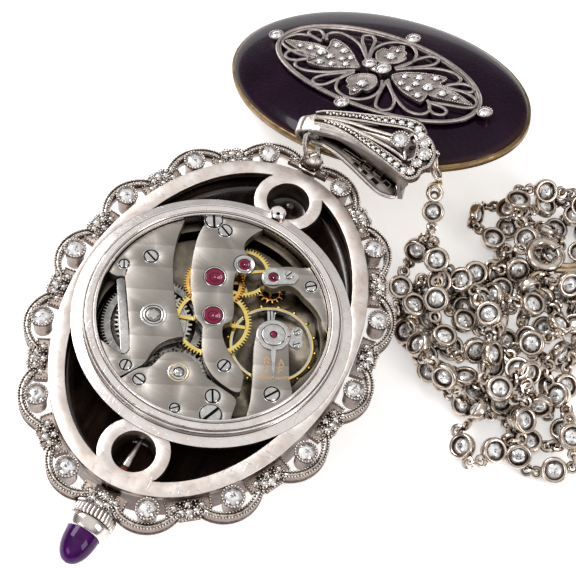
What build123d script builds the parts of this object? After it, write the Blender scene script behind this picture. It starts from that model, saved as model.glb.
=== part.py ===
from build123d import *
import math
import os

# Pendant watch, lying on its crystal with the back up, millimetres.
# Origin: centre of the flat outer face of the crystal, on the table. +Z up out of the open back, +Y towards the bail.

# ---- driving dimensions ------------------------------------------------------
RIM_Z = 8.0            # back plane of the flat rim
RIM_T = 0.7
RIM_A, RIM_B = 12.48, 17.48      # outer half axes of the rim
WELL_A, WELL_B = 11.0, 16.2      # inner half axes of the rim
FLANGE_R = 12.1                  # movement ring flange
BEZEL_OUT, BEZEL_IN, BEZEL_TOP = 11.1, 10.0, 8.78
TUBE_OUT = 10.9
HOLE_TOP = (0.2, 14.0, 1.95, 3.1)
HOLE_BOT = (0.3, -14.1, 1.82, 3.02)
BAND_A, BAND_B, BAND_T = 12.3, 17.3, 0.55
FRONT_Z0, FRONT_Z1 = 3.05, 3.65
WELL_Z0, WELL_Z1 = 4.9, 5.5
STEM_Z = 6.1
STEM_R = 0.3
PLATE_R = 9.95
PLATE_Z0, PLATE_Z1 = 4.7, 5.9
BR_Z0, BR_Z1 = 7.45, 8.45        # bridges
BR_R = 9.88
BORDER_Z0, BORDER_Z1 = 6.15, 7.35
COLLET_R = 0.95
COLLETS = [(13.7, 0), (12.62, 7.15), (9.22, 13.57), (3.7, 17.85), (-3.7, 17.85), (-9.22, 13.57), (-12.62, 7.15),
           (-13.7, 0), (-12.62, -7.15), (-9.22, -13.57), (-3.7, -17.85), (3.7, -17.85), (9.22, -13.57), (12.62, -7.15)]
JUNCTIONS = [(13.25, 3.5), (11.0, 10.5), (6.55, 16.1), (0, 19.35), (-6.55, 16.1), (-11.0, 10.5), (-13.25, 3.5),
             (-13.15, -3.6), (-11.0, -10.45), (-6.5, -16.05), (0, -18.75), (6.5, -16.05), (11.0, -10.45), (13.15, -3.6)]
CROWN_Y = -19.0
C_BARREL = (-4.42, -2.53)
C_CENTRE = (0.0, 0.0)
C_THIRD = (-1.67, 3.42)
C_FOURTH = (-0.02, 5.84)
C_ESC = (2.80, 5.91)
C_BAL = (5.40, 0.85)
C_CROWNW = (0.07, -6.23)
N_BARREL, N_CPIN = 90, 10
N_CENTRE, N_TPIN = 70, 10
N_THIRD, N_FPIN = 60, 8
N_FOURTH, N_EPIN = 56, 8
N_RATCHET, N_CROWNW = 44, 36
CHAIN_D = 1.2
# cover: centre, long direction and normal, half axes and dome height
CC = (1.25, 31.53, 6.11)
CXD = (0.9129, -0.2224, 0.3423)
CZD = (-0.3064, 0.1809, 0.9346)
COV_A, COV_B, DOME = 16.38, 11.06, 1.8


# ---- helpers ----------------------------------------------------------------
def cyl(r, z0, z1, x=0.0, y=0.0):
    return Pos(x, y, (z0 + z1) / 2) * Cylinder(r, z1 - z0)


def ann(ro, ri, z0, z1, x=0.0, y=0.0):
    return cyl(ro, z0, z1, x, y) - cyl(ri, z0 - 1, z1 + 1, x, y)


def ell(a, b, z0, z1):
    return extrude(Pos(0, 0, z0) * make_face(Ellipse(a, b).edges()), amount=z1 - z0, dir=(0, 0, 1))


def prism(pts, z0, z1):
    return extrude(Pos(0, 0, z0) * make_face(Polyline([(p[0], p[1]) for p in pts], close=True).edges()), amount=z1 - z0, dir=(0, 0, 1))


def chaikin(pts, n=2):
    for _ in range(n):
        out = []
        for i, p in enumerate(pts):
            q = pts[(i + 1) % len(pts)]
            out.append((0.75 * p[0] + 0.25 * q[0], 0.75 * p[1] + 0.25 * q[1]))
            out.append((0.25 * p[0] + 0.75 * q[0], 0.25 * p[1] + 0.75 * q[1]))
        pts = out
    return pts


def arc_pts(r, a0, a1, n, x=0.0, y=0.0):
    return [(x + r * math.cos(math.radians(a0 + (a1 - a0) * i / (n - 1))), y + r * math.sin(math.radians(a0 + (a1 - a0) * i / (n - 1)))) for i in range(n)]


def ang(a, b):
    return math.degrees(math.atan2(b[1] - a[1], b[0] - a[0]))


def dist(a, b):
    return math.hypot(b[0] - a[0], b[1] - a[1])


def gear(c, rp, n, z0, z1, phase, wroot=0.5, wtip=0.2, add=0.95, ded=1.15):
    # straight-flanked teeth, one centred on the phase angle
    m = 2 * rp / n
    ra, rr = rp + add * m, rp - ded * m
    pts = []
    step = 360.0 / n
    for i in range(n):
        a = phase + i * step
        for da, r in ((-wroot / 2, rr), (-wtip / 2, ra), (wtip / 2, ra), (wroot / 2, rr)):
            t = math.radians(a + da * step)
            pts.append((c[0] + r * math.cos(t), c[1] + r * math.sin(t)))
    return prism(pts, z0, z1)


def wheel(c, rp, n, z0, z1, phase, rim, spokes, spoke_w, spoke_a, hub, bore):
    m = 2 * rp / n
    ri = rp - 1.15 * m - rim
    g = gear(c, rp, n, z0, z1, phase) - cyl(ri, z0 - 1, z1 + 1, *c)
    g += cyl(hub, z0, z1, *c)
    for k in range(spokes):
        a = spoke_a + 360.0 * k / spokes
        g += Pos(c[0], c[1], (z0 + z1) / 2) * Rot(0, 0, a) * Pos((ri + 0.05) / 2, 0, 0) * Box(ri + 0.05, spoke_w, z1 - z0)
    return g - cyl(bore, z0 - 1, z1 + 1, *c)


def arbor(c, z0, z1, r, pz0, pz1, pr=0.09):
    return cyl(r, z0, z1, *c) + cyl(pr, pz0, pz1, *c)


def save(name, shape):
    shapes = shape if isinstance(shape, list) else [shape]
    solids = []
    for s in shapes:
        solids += list(s.solids())
    out = solids[0] if len(solids) == 1 else Compound(children=solids)
    export_step(out, "parts/%s.step" % name)
    print(name, len(solids), round(sum(s.volume for s in solids), 3))


def vec(a, b, s=1.0):
    return (a[0] + b[0] * s, a[1] + b[1] * s, a[2] + b[2] * s)


os.makedirs("parts", exist_ok=True)

# ---- case --------------------------------------------------------------------
hx, hy, hr, hR = HOLE_TOP
bx, by, br, bR = HOLE_BOT
rim = ell(RIM_A, RIM_B, RIM_Z - RIM_T, RIM_Z) - ell(WELL_A, WELL_B, 0, 20)
rim += cyl(hR, RIM_Z - RIM_T, RIM_Z, hx, hy) + cyl(bR, RIM_Z - RIM_T, RIM_Z, bx, by)
rim += cyl(hr + 0.28, WELL_Z1 + 0.02, RIM_Z - 0.1, hx, hy) + cyl(br + 0.28, WELL_Z1 + 0.02, RIM_Z - 0.1, bx, by)
rim -= cyl(hr, 0, 20, hx, hy) + cyl(br, 0, 20, bx, by)
rim -= cyl(FLANGE_R + 0.015, RIM_Z - RIM_T - 0.05, 20)
rim -= cyl(TUBE_OUT + 0.03, 0, 20)
rim -= Pos(0, -14.2, STEM_Z) * Box(1.1, 7.0, 1.0)
rim = max(rim.solids(), key=lambda s: s.volume)
save("case_rim", rim)

band = ell(BAND_A, BAND_B, FRONT_Z1, RIM_Z - RIM_T) - ell(BAND_A - BAND_T, BAND_B - BAND_T, 0, 20)
band -= Pos(0, -17.0, STEM_Z) * Rot(90, 0, 0) * Cylinder(0.42, 3)

front = ell(BAND_A, BAND_B, FRONT_Z0, FRONT_Z1) - cyl(TUBE_OUT + 0.02, 0, 20)
front = front.chamfer(0.45, None, [e for e in front.edges() if abs(e.center().Z - FRONT_Z0) < 1e-3 and e.length > 80])
save("case_body", front + band)

flange = ann(FLANGE_R, BEZEL_IN, RIM_Z - 0.55, RIM_Z) + ann(BEZEL_OUT, BEZEL_IN, RIM_Z - 0.1, BEZEL_TOP - 0.18) + ann(BEZEL_OUT - 0.22, BEZEL_IN, RIM_Z, BEZEL_TOP)
flange += ann(TUBE_OUT, 10.03, FRONT_Z0, RIM_Z - 0.3)
flange -= Pos(0, -10.5, STEM_Z) * Rot(90, 0, 0) * Cylinder(0.42, 3)
for x, y, r in ((-4.49, 8.45, .72), (4.26, -8.36, .88)):
    flange -= cyl(r + 0.05, 7.95, 20, x, y)

well = ell(BAND_A - BAND_T - 0.02, BAND_B - BAND_T - 0.02, WELL_Z0, WELL_Z1) + (ell(11.55, 16.55, WELL_Z0, 6.15) - ell(10.45, 15.35, 0, 20))
well -= cyl(TUBE_OUT + 0.02, 0, 20)
well -= cyl(hr + 0.3, WELL_Z1, 20, hx, hy) + cyl(br + 0.3, WELL_Z1, 20, bx, by)
well -= Pos(0, -15.5, STEM_Z) * Box(1.0, 6, 1.1)

post = cyl(0.42, WELL_Z1, 6.9, 0.35, 14.45)
post = post.chamfer(0.12, None, [e for e in post.edges() if abs(e.center().Z - 6.9) < 1e-3])
save("well_plate", max((well + post).solids(), key=lambda q: q.volume))

# outer border: one thick arch over each collet, from junction to junction
scallops = []
for i, (cx, cy) in enumerate(COLLETS):
    j1 = JUNCTIONS[(i - 1) % 14]
    j2 = JUNCTIONS[i]
    nl = math.hypot(cx / RIM_A ** 2, cy / RIM_B ** 2)
    nx, ny = cx / RIM_A ** 2 / nl, cy / RIM_B ** 2 / nl
    half = 0.27
    t = (cx + nx * (COLLET_R + 0.03 + half), cy + ny * (COLLET_R + 0.03 + half))
    # arch ends stop short of the junctions and lie a little outside the rim
    a = (j1[0] + (cx - j1[0]) * 0.30 + nx * 0.32, j1[1] + (cy - j1[1]) * 0.30 + ny * 0.32)
    b = (j2[0] + (cx - j2[0]) * 0.30 + nx * 0.32, j2[1] + (cy - j2[1]) * 0.30 + ny * 0.32)
    # circle through a, t, b
    ax, ay, bx2, by2, tx, ty = a[0], a[1], b[0], b[1], t[0], t[1]
    d = 2 * (ax * (ty - by2) + tx * (by2 - ay) + bx2 * (ay - ty))
    ux = ((ax * ax + ay * ay) * (ty - by2) + (tx * tx + ty * ty) * (by2 - ay) + (bx2 * bx2 + by2 * by2) * (ay - ty)) / d
    uy = ((ax * ax + ay * ay) * (bx2 - tx) + (tx * tx + ty * ty) * (ax - bx2) + (bx2 * bx2 + by2 * by2) * (tx - ax)) / d
    r = math.hypot(ax - ux, ay - uy)
    a0, at, a1 = ang((ux, uy), a), ang((ux, uy), t), ang((ux, uy), b)
    da, dt = (a1 - a0) % 360, (at - a0) % 360
    if dt > da:
        da -= 360
    band_pts = arc_pts(r + half, a0, a0 + da, 15, ux, uy) + arc_pts(r - half, a0 + da, a0, 15, ux, uy)
    scallops.append(prism(band_pts, BORDER_Z0, BORDER_Z1))

blocks, stones = [], []
for j, (x, y) in enumerate(JUNCTIONS):
    nl = math.hypot(x / RIM_A ** 2, y / RIM_B ** 2)
    nx, ny = x / RIM_A ** 2 / nl, y / RIM_B ** 2 / nl
    a = math.degrees(math.atan2(ny, nx))
    w = 1.9 if j != 3 else 1.7
    k = 0.0 if j not in (3, 10) else -0.35
    s = Pos(x + nx * (k - 0.08), y + ny * (k - 0.08), (BORDER_Z0 + BORDER_Z1) / 2 - 0.02) * Rot(0, 0, a) * (Box(1.25, w, BORDER_Z1 - BORDER_Z0 - 0.1))
    s -= ell(RIM_A + 0.02, RIM_B + 0.02, 0, 20)
    s -= cyl(1.02, 0, 20, *COLLETS[j]) + cyl(1.02, 0, 20, *COLLETS[(j + 1) % 14])
    if j == 10:
        s -= Pos(0, -18.5, STEM_Z) * Rot(90, 0, 0) * Cylinder(0.98, 4)
    if j == 3:
        s -= Pos(0, 19.4, 7.2) * Sphere(0.9)
    parts_j = [q for q in s.solids() if q.volume > 0.12]
    if parts_j:
        blocks.append(max(parts_j, key=lambda q: q.volume))
    if j not in (3,):
        offs = ((0, 0.42), (-0.66, 0.25), (0.66, 0.25)) if j != 10 else ((-0.66, 0.26), (0.66, 0.26), (0, 0.36))
        for dt, rr in offs:
            px, py = x - ny * dt + nx * (k - 0.02), y + nx * dt + ny * (k - 0.02)
            stones.append(Pos(px, py, BORDER_Z1 + 0.06) * Cone(rr, rr * 0.55, 0.22))
frame = scallops[0]
for q in scallops[1:] + blocks:
    frame += q
for cx, cy in COLLETS:
    frame -= cyl(1.0, 0, 20, cx, cy)
frame -= Pos(0, 19.4, 7.2) * Sphere(0.9)
frame -= Pos(0, -21.4, STEM_Z) * Rot(90, 0, 0) * Cylinder(1.9, 5)
save("border_frame", frame)

collets, gems = [], []
for cx, cy in COLLETS:
    zt, zb = RIM_Z + 0.05, 5.6
    c = Pos(cx, cy, (zt + zb) / 2) * Cone(0.78, COLLET_R, zt - zb)
    c -= cyl(0.74, zt - 0.45, zt + 1, cx, cy)
    c -= Pos(cx, cy, (zt - 0.45 + zb) / 2) * Cone(0.5, 0.62, zt - 0.45 - zb + 0.001)
    c -= ell(RIM_A + 0.01, RIM_B + 0.01, 0, 20)
    collets.append(max(c.solids(), key=lambda q: q.volume))
    g = Pos(cx, cy, zt - 0.38 + 0.11) * Cone(0.72, 0.42, 0.22) + Pos(cx, cy, zt - 0.38 - 0.02) * Cylinder(0.72, 0.05)
    g = Pos(cx, cy, zt - 0.30) * Cylinder(0.72, 0.06) + Pos(cx, cy, zt - 0.27 + 0.1) * Cone(0.72, 0.42, 0.2)
    gems.append(g)
save("border_collets", collets)
save("border_diamonds", gems + stones)

# ribbed knob that carries the bow, with a small cross lug on top
KNOB = (0.0, 19.4, 7.2)
LUG = (-0.15, 19.62, 8.16)
BOW_B = (0.6094, 0.7929, 0.0)           # bow hinge direction
knob = Pos(*KNOB) * Sphere(0.87) + Pos((KNOB[0] + LUG[0]) / 2, (KNOB[1] + LUG[1]) / 2, 7.85) * Cylinder(0.22, 0.7)
knob += Plane(origin=LUG, z_dir=BOW_B) * Cylinder(0.27, 0.72)
knob -= ell(RIM_A + 0.01, RIM_B + 0.01, 0, RIM_Z + 0.01)
knob -= frame
knob = max(knob.solids(), key=lambda q: q.volume)
save("pendant_knob", knob)

tube = Pos(0, -18.02, STEM_Z) * Rot(90, 0, 0) * Cylinder(0.95, 1.7)
tube += Pos(0, -18.65, STEM_Z) * Rot(90, 0, 0) * Cylinder(1.15, 0.44)
tube -= Pos(0, -18.2, STEM_Z) * Rot(90, 0, 0) * Cylinder(0.36, 4)
tube -= ell(BAND_A + 0.01, BAND_B + 0.01, 0, RIM_Z - RIM_T) + ell(RIM_A + 0.01, RIM_B + 0.01, RIM_Z - RIM_T, 20)
tube -= frame
tube = max(tube.solids(), key=lambda q: q.volume)
save("crown_tube", tube)

tab = cyl(0.72, RIM_Z - 0.3, RIM_Z + 0.95, 0.12, 12.0) - cyl(0.17, RIM_Z + 0.4, 10, 0.22, 11.75)
tab -= cyl(BEZEL_OUT - 0.4, 0, 20)
tab -= rim
tab = tab.chamfer(0.2, None, [e for e in tab.edges() if abs(e.center().Z - RIM_Z - 0.95) < 1e-3 and e.length > 2])
save("movement_ring", flange + tab)

bez = ann(11.3, 9.66, 1.0, FRONT_Z0) + ann(10.6, 9.66, 0.25, 1.2) - cyl(9.66, 0, 4)
bez = bez.chamfer(0.3, None, [e for e in bez.edges() if abs(e.center().Z - 0.25) < 1e-3 and e.length > 62])
bez += ann(11.25, 9.3, 2.2, 2.5)
save("front_bezel", bez)
cry = cyl(9.62, 0.0, 0.9)
cry = cry.chamfer(0.25, None, [e for e in cry.edges() if e.center().Z < 1e-3])
save("crystal", cry)
dial = cyl(9.9, 4.1, 4.35) - cyl(0.75, 0, 9)
save("dial", dial)

# ---- movement, fixed ------------------------------------------------------------
plate = cyl(PLATE_R, PLATE_Z0, PLATE_Z1) + ann(PLATE_R, 9.15, PLATE_Z1 - 0.1, BR_Z0 - 0.02)
plate -= cyl(4.9, PLATE_Z1 + 0.0, 20, *C_BARREL)
plate -= cyl(4.2, PLATE_Z1 + 0.0, 20, *C_BAL)
plate -= cyl(4.75, PLATE_Z1 - 0.25, 20, *C_BARREL)
for c in (C_THIRD, C_FOURTH, C_ESC, C_BAL, C_BARREL):
    plate -= cyl(0.13 if c != C_BARREL else 0.44, 0, 20, *c)
plate -= cyl(0.42, 0, 20, *C_CENTRE)
plate -= Pos(0, -8.6, STEM_Z) * Rot(90, 0, 0) * Cylinder(0.42, 3.6)
plate -= Pos(0.0, -8.3, STEM_Z + 0.5) * Box(2.5, 1.45, 3.0)
plate += cyl(0.35, PLATE_Z1 - 0.3, BR_Z0 - 0.02, *C_CROWNW)
FORK = (4.06, 4.15)
plate -= cyl(0.12, 0, 20, *FORK)
plate -= cyl(1.15, 5.45, 20, *C_BAL)


SCREWS_BR = [(-7.47, 2.41, .62), (-9.11, .57, .45), (-4.1, -7.84, .5), (-3.14, 8.03, .62), (3.08, -3.78, .55), (3.59, -6.76, .62),
             (-2.47, -8.43, .52), (1.37, -9.26, .42), (7.8, -4.12, .66), (6.04, 6.82, .5)]
SCREWS_CASE = [(-4.49, 8.45, .72), (4.26, -8.36, .88)]
for x, y, r in SCREWS_BR:
    plate -= cyl(r * 0.5 + 0.02, 5.2, 20, x, y)
for x, y, r in SCREWS_CASE:
    plate -= cyl(r * 0.5 + 0.02, 5.2, 20, x, y)
# posts under the screws that have no wall below them
for x, y, r in ((3.08, -3.78, 0.55), (3.59, -6.76, 0.6), (-3.14, 8.03, 0.7), (-7.47, 2.41, 0.0)):
    if r > 0 and math.hypot(x, y) < 9:
        plate += ann(r, 0.33, PLATE_Z1 - 0.1, BR_Z0 - 0.02, x, y)
plate = max(plate.solids(), key=lambda q: q.volume)
save("main_plate", plate)

ringarc = lambda a0, a1, n=8: arc_pts(11.5, a0, a1, n)
barrel_out = chaikin([(-6.78, 7.47), (-6.6, 6.4), (-6.43, 5.32), (-5.74, 3.24), (-4.49, 1.02), (-2.82, -1.34), (-1.02, -3.01), (-1.6, -3.35), (-2.5, -4.3), (-2.85, -5.6),
                      (-2.75, -6.8), (-3.2, -7.7), (-3.95, -8.9)] + ringarc(246, 132, 14), 2)
train_out = chaikin([(-4.97, 8.6), (-5.04, 6.71), (-4.49, 4.63), (-3.38, 1.99), (-1.99, .04), (-1.2, -1.02), (-.30, -1.27), (-.04, -1.9), (.93, -3.7), (1.9, -4.68), (3.29, -5.37),
                     (5.51, -5.58), (5.2, -4.5), (4.89, -3.57), (3.29, -2.73), (2.32, -2.11), (1.48, -1.2), (1.12, -.37), (1.48, .04), (1.62, .6), (1.21, 1.57), (.37, 2.82), (-.25, 4.35), (-.30, 4.9),
                     (.5, 5.0), (.95, 5.84), (.5, 6.7), (-.55, 6.9), (-.98, 7.5), (-1.02, 8.2), (-.67, 9.21), (-.1, 10.2)] + ringarc(91, 117, 6), 2)
crown_out = chaikin([(-1.99, -5.93), (-1.71, -5.09), (-1.02, -4.61), (-.04, -4.4), (.93, -4.68), (1.62, -5.23), (2.32, -5.51), (3.9, -5.75), (5.48, -5.93), (5.7, -6.8), (5.85, -7.9)]
                    + ringarc(-54, -113, 10) + [(-3.66, -8.84), (-3.1, -7.6), (-2.27, -7.04), (-2.02, -6.5)], 2)
cock_out = chaikin([(3.98, .45), (4.2, -.2), (4.54, -1.2), (5.37, -2.87), (6.07, -4.4), (6.62, -5.79), (6.97, -7.3)] + [(7.4, -8.6), (9.6, -6.6), (10.6, -4.4)]
                   + [(9.4, -3.84), (9.26, -3.08), (8.43, -2.18), (7.59, -.51), (6.97, .6)] + arc_pts(1.5, 5, 190, 12, *C_BAL), 2)
esc_out = chaikin([(2.6, 6.99), (3.4, 7.62), (4.96, 8.24), (6.0, 9.4), (8.6, 7.6), (10.5, 5.5), (9.7, 3.2), (8.98, 3.5), (8.01, 4.63), (6.9, 5.25), (5.79, 5.6), (5.23, 5.95), (4.4, 6.02), (3.71, 5.53), (3.4, 5.1)]
                  + arc_pts(1.05, -50, -250, 10, *C_ESC), 2)


def seat(shape, screws, z=BR_Z1):
    for x, y, r in screws:
        shape -= cyl(r + 0.07, z - 0.36, z + 1, x, y) + cyl(r * 0.5 + 0.02, 0, 20, x, y)
    return shape


RUBIES = [(C_CENTRE[0], C_CENTRE[1], .86, .97), (C_THIRD[0], C_THIRD[1], .88, 1.0), (C_FOURTH[0], C_FOURTH[1], .55, .93), (C_ESC[0], C_ESC[1], .46, .74)]
bridge_disc = cyl(BR_R, BR_Z0, BR_Z1)


def bridge(pts, screws, case_cut=True):
    b = prism(pts, BR_Z0, BR_Z1) & bridge_disc
    b = max(b.solids(), key=lambda q: q.volume)
    b = seat(b, screws)
    for x, y, rj, rs in RUBIES:
        b -= cyl(rs + 0.012, BR_Z0 - 1, BR_Z1 + 1, x, y)
    if case_cut:
        for x, y, r in SCREWS_CASE:
            b -= cyl(r + 0.14, 7.9, 20, x, y) + cyl(r * 0.5 + 0.03, 0, 20, x, y)
    return max(b.solids(), key=lambda q: q.volume)


slot = chaikin([(-10.6, -0.55), (-9.2, -0.93), (-8.55, -0.5), (-8.33, -0.56), (-4.49, -6.28), (-4.60, -7.02), (-5.06, -7.1), (-8.0, -6.7), (-10.6, -5.0)], 1)
bb = bridge(barrel_out, SCREWS_BR[:3])
bb -= prism(slot, 0, 20)
bb -= cyl(0.94, 0, 20, *C_BARREL)
bb = max(bb.solids(), key=lambda q: q.volume)
save("barrel_bridge", bb)
tb = bridge(train_out, [SCREWS_BR[3], SCREWS_BR[4]])
save("train_bridge", tb)
cw = bridge(crown_out, SCREWS_BR[5:8])
cw -= cyl(0.9, 8.2, 20, *C_CROWNW)
cw -= cyl(0.30, 0, 20, *C_CROWNW)
save("crown_wheel_bridge", cw)
bc = bridge(cock_out, [SCREWS_BR[8]])
bc -= cyl(0.42, 0, 20, *C_BAL)
bc -= cyl(0.17, 0, 20, 7.01, 2.17) + cyl(0.17, 0, 20, 7.53, 1.02)
save("balance_cock", bc)
ec = bridge(esc_out, [SCREWS_BR[9]])
ec -= cyl(0.2, 0, 20, 3.91, 6.78)
save("escape_cock", ec)

cap = prism(chaikin(arc_pts(0.98, 95, 265, 10, *C_ESC) + [(3.9, 5.75), (4.72, 6.25), (4.78, 7.3), (3.6, 7.25)], 2), BR_Z1 + 0.005, BR_Z1 + 0.17)
cap -= cyl(0.50, 0, 20, *C_ESC) + cyl(0.22, 0, 20, 3.91, 6.78)


def screw(x, y, r, ztop, h, shank_z, slot_a):
    head = cyl(r, ztop - h, ztop, x, y)
    head = head.chamfer(0.05, None, [e for e in head.edges() if abs(e.center().Z - ztop) < 1e-3])
    s = head + cyl(r * 0.5, shank_z, ztop - h + 0.05, x, y)
    s -= Pos(x, y, ztop) * Rot(0, 0, slot_a) * Box(3 * r, r * 0.26, 0.30)
    return s


ANG = [130, 82, 95, 120, 118, 88, 130, 70, 58, 62]
BRIDGE = [screw(x, y, r, BR_Z1 + 0.05, 0.36, 5.25, a) for (x, y, r), a in zip(SCREWS_BR, ANG)]
save("case_screws", [screw(x, y, r, BR_Z1 + 0.16, 0.55, 5.25, a) for (x, y, r), a in zip(SCREWS_CASE, (95, 48))])
small = [screw(3.91, 6.78, .38, BR_Z1 + 0.34, 0.16, 8.0, 60), screw(7.01, 2.17, .30, BR_Z1 + 0.25, 0.2, 7.6, 120), screw(7.53, 1.02, .30, BR_Z1 + 0.25, 0.2, 7.6, 30)]
save("bridge_screws", BRIDGE + small)

jewels, settings = [], []
for x, y, rj, rs in RUBIES:
    ztop = BR_Z1 - 0.02
    settings.append(ann(rs, rj + 0.006, BR_Z0 + 0.3, BR_Z1 + (0.02 if rj > 0.5 else -0.01), x, y))
    j = cyl(rj, BR_Z0 + 0.32, ztop, x, y)
    j -= Pos(x, y, ztop - 0.05) * Cone(0.14, rj * 0.62, 0.1001) + cyl(0.115, 0, 20, x, y)
    jewels.append(j)
j = cyl(0.30, BR_Z1 - 0.2, BR_Z1 + 0.24, *C_BAL)
jewels.append(j)
save("jewels", jewels)
bcap = ann(1.02, 0.31, BR_Z1 + 0.005, BR_Z1 + 0.22, *C_BAL)
bcap = bcap.chamfer(0.06, None, [e for e in bcap.edges() if abs(e.center().Z - BR_Z1 - 0.22) < 1e-3 and e.length > 5])
save("end_caps", [cap, bcap])
core = ann(0.86, 0.40, 8.22, 8.46, *C_CROWNW)
save("chatons", settings + [core])
cws = cyl(0.37, 8.22, 8.52, *C_CROWNW) + cyl(0.27, BR_Z0 + 0.02, 8.3, *C_CROWNW)
cws -= cyl(0.13, 8.4, 9, *C_CROWNW)
stud = prism(chaikin([(6.45, 1.35), (7.05, 0.62), (7.95, 0.72), (8.0, 1.5), (7.55, 1.8), (7.5, 2.55), (6.8, 2.72), (6.5, 2.1)], 1), BR_Z1 - 0.13, BR_Z1 + 0.04)
stud -= cyl(1.47, 0, 20, *C_BAL) + cyl(0.17, 0, 20, 7.01, 2.17) + cyl(0.17, 0, 20, 7.53, 1.02)
stud -= bc
stud = max(stud.solids(), key=lambda q: q.volume)
save("hairspring_stud", stud)
bar = prism([(-8.90, -1.05), (-8.62, -0.66), (-8.40, -0.62), (-4.58, -6.30), (-4.68, -6.93), (-5.02, -7.0), (-5.2, -6.75)], 7.5, 8.33)
bar -= bb
bar = max(bar.solids(), key=lambda q: q.volume)
save("click_spring", bar)
SETW = (2.2, -4.9)
setw = gear(SETW, 0.72, 14, 6.75, 6.98, 10, 0.5, 0.2)
setw -= cyl(0.2, 0, 20, *SETW)
save("setting_wheel", setw)

# hairspring: flat spiral held by the stud
sp_in, sp_out = [], []
for i in range(0, 241):
    t = i / 240.0
    a = math.radians(20 + 360 * 6.5 * t)
    r = 0.45 + 1.15 * t
    sp_out.append((C_BAL[0] + (r + 0.022) * math.cos(a), C_BAL[1] + (r + 0.022) * math.sin(a)))
    sp_in.append((C_BAL[0] + (r - 0.022) * math.cos(a), C_BAL[1] + (r - 0.022) * math.sin(a)))
save("hairspring", prism(sp_out + sp_in[::-1], 6.98, 7.12))

# ---- movement, turning --------------------------------------------------------
d_bc = dist(C_BARREL, C_CENTRE)
d_ct = dist(C_CENTRE, C_THIRD)
d_tf = dist(C_THIRD, C_FOURTH)
d_fe = dist(C_FOURTH, C_ESC)
d_rc = dist(C_BARREL, C_CROWNW)
rp_b, rp_cp = d_bc * N_BARREL / (N_BARREL + N_CPIN), d_bc * N_CPIN / (N_BARREL + N_CPIN)
rp_c, rp_tp = d_ct * N_CENTRE / (N_CENTRE + N_TPIN), d_ct * N_TPIN / (N_CENTRE + N_TPIN)
rp_t, rp_fp = d_tf * N_THIRD / (N_THIRD + N_FPIN), d_tf * N_FPIN / (N_THIRD + N_FPIN)
rp_f, rp_ep = d_fe * N_FOURTH / (N_FOURTH + N_EPIN), d_fe * N_EPIN / (N_FOURTH + N_EPIN)
rp_r, rp_cw = d_rc * N_RATCHET / (N_RATCHET + N_CROWNW), d_rc * N_CROWNW / (N_RATCHET + N_CROWNW)


def pin_phase(c1, c2, n):
    return ang(c2, c1) + 180.0 / n


barrel = gear(C_BARREL, rp_b, N_BARREL, 6.32, 6.55, ang(C_BARREL, C_CENTRE)) + cyl(rp_b - 0.35, 5.72, 6.75, *C_BARREL)
barrel -= cyl(rp_b - 0.6, 5.85, 6.62, *C_BARREL) + cyl(0.53, 0, 20, *C_BARREL)
save("barrel", barrel)
arb = cyl(0.49, 5.68, 6.92, *C_BARREL) + cyl(0.40, 4.95, 5.75, *C_BARREL) + cyl(0.86, 7.30, 8.44, *C_BARREL) + cyl(0.45, 6.85, 7.4, *C_BARREL)
arb -= ann(0.84, 0.60, 8.28, 9, *C_BARREL)
arb += Pos(C_BARREL[0], C_BARREL[1], 8.4) * Rot(0, 0, 15) * Box(0.66, 0.66, 0.24)
rat = gear(C_BARREL, rp_r, N_RATCHET, 7.05, 7.30, ang(C_BARREL, C_CROWNW), 0.55, 0.18) - cyl(0.45, 0, 20, *C_BARREL)
save("ratchet_wheel", rat)
save("barrel_arbor", arb)

cen = wheel(C_CENTRE, rp_c, N_CENTRE, 6.85, 7.0, ang(C_CENTRE, C_THIRD), 0.33, 5, 0.36, 5, 0.62, 0.2)
cen += gear(C_CENTRE, rp_cp, N_CPIN, 6.2, 6.75, pin_phase(C_BARREL, C_CENTRE, N_CPIN), 0.55, 0.2)
cen += cyl(0.3, 3.25, 7.5, *C_CENTRE) + cyl(0.33, 6.7, 6.9, *C_CENTRE) + cyl(0.095, 7.4, 8.3, *C_CENTRE)
save("centre_wheel", cen)
thi = wheel(C_THIRD, rp_t, N_THIRD, 7.1, 7.24, ang(C_THIRD, C_FOURTH), 0.3, 5, 0.3, 30, 0.5, 0.1)
thi += gear(C_THIRD, rp_tp, N_TPIN, 6.72, 7.1, pin_phase(C_CENTRE, C_THIRD, N_TPIN), 0.55, 0.2) + cyl(0.2, 6.0, 7.5, *C_THIRD) + cyl(0.095, 5.1, 8.3, *C_THIRD)
save("third_wheel", thi)
fou = wheel(C_FOURTH, rp_f, N_FOURTH, 6.5, 6.64, ang(C_FOURTH, C_ESC), 0.28, 5, 0.28, 60, 0.45, 0.1)
fou += gear(C_FOURTH, rp_fp, N_FPIN, 7.0, 7.36, pin_phase(C_THIRD, C_FOURTH, N_FPIN), 0.55, 0.2) + cyl(0.17, 6.0, 7.5, *C_FOURTH) + cyl(0.09, 5.1, 8.3, *C_FOURTH)
save("fourth_wheel", fou)
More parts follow.
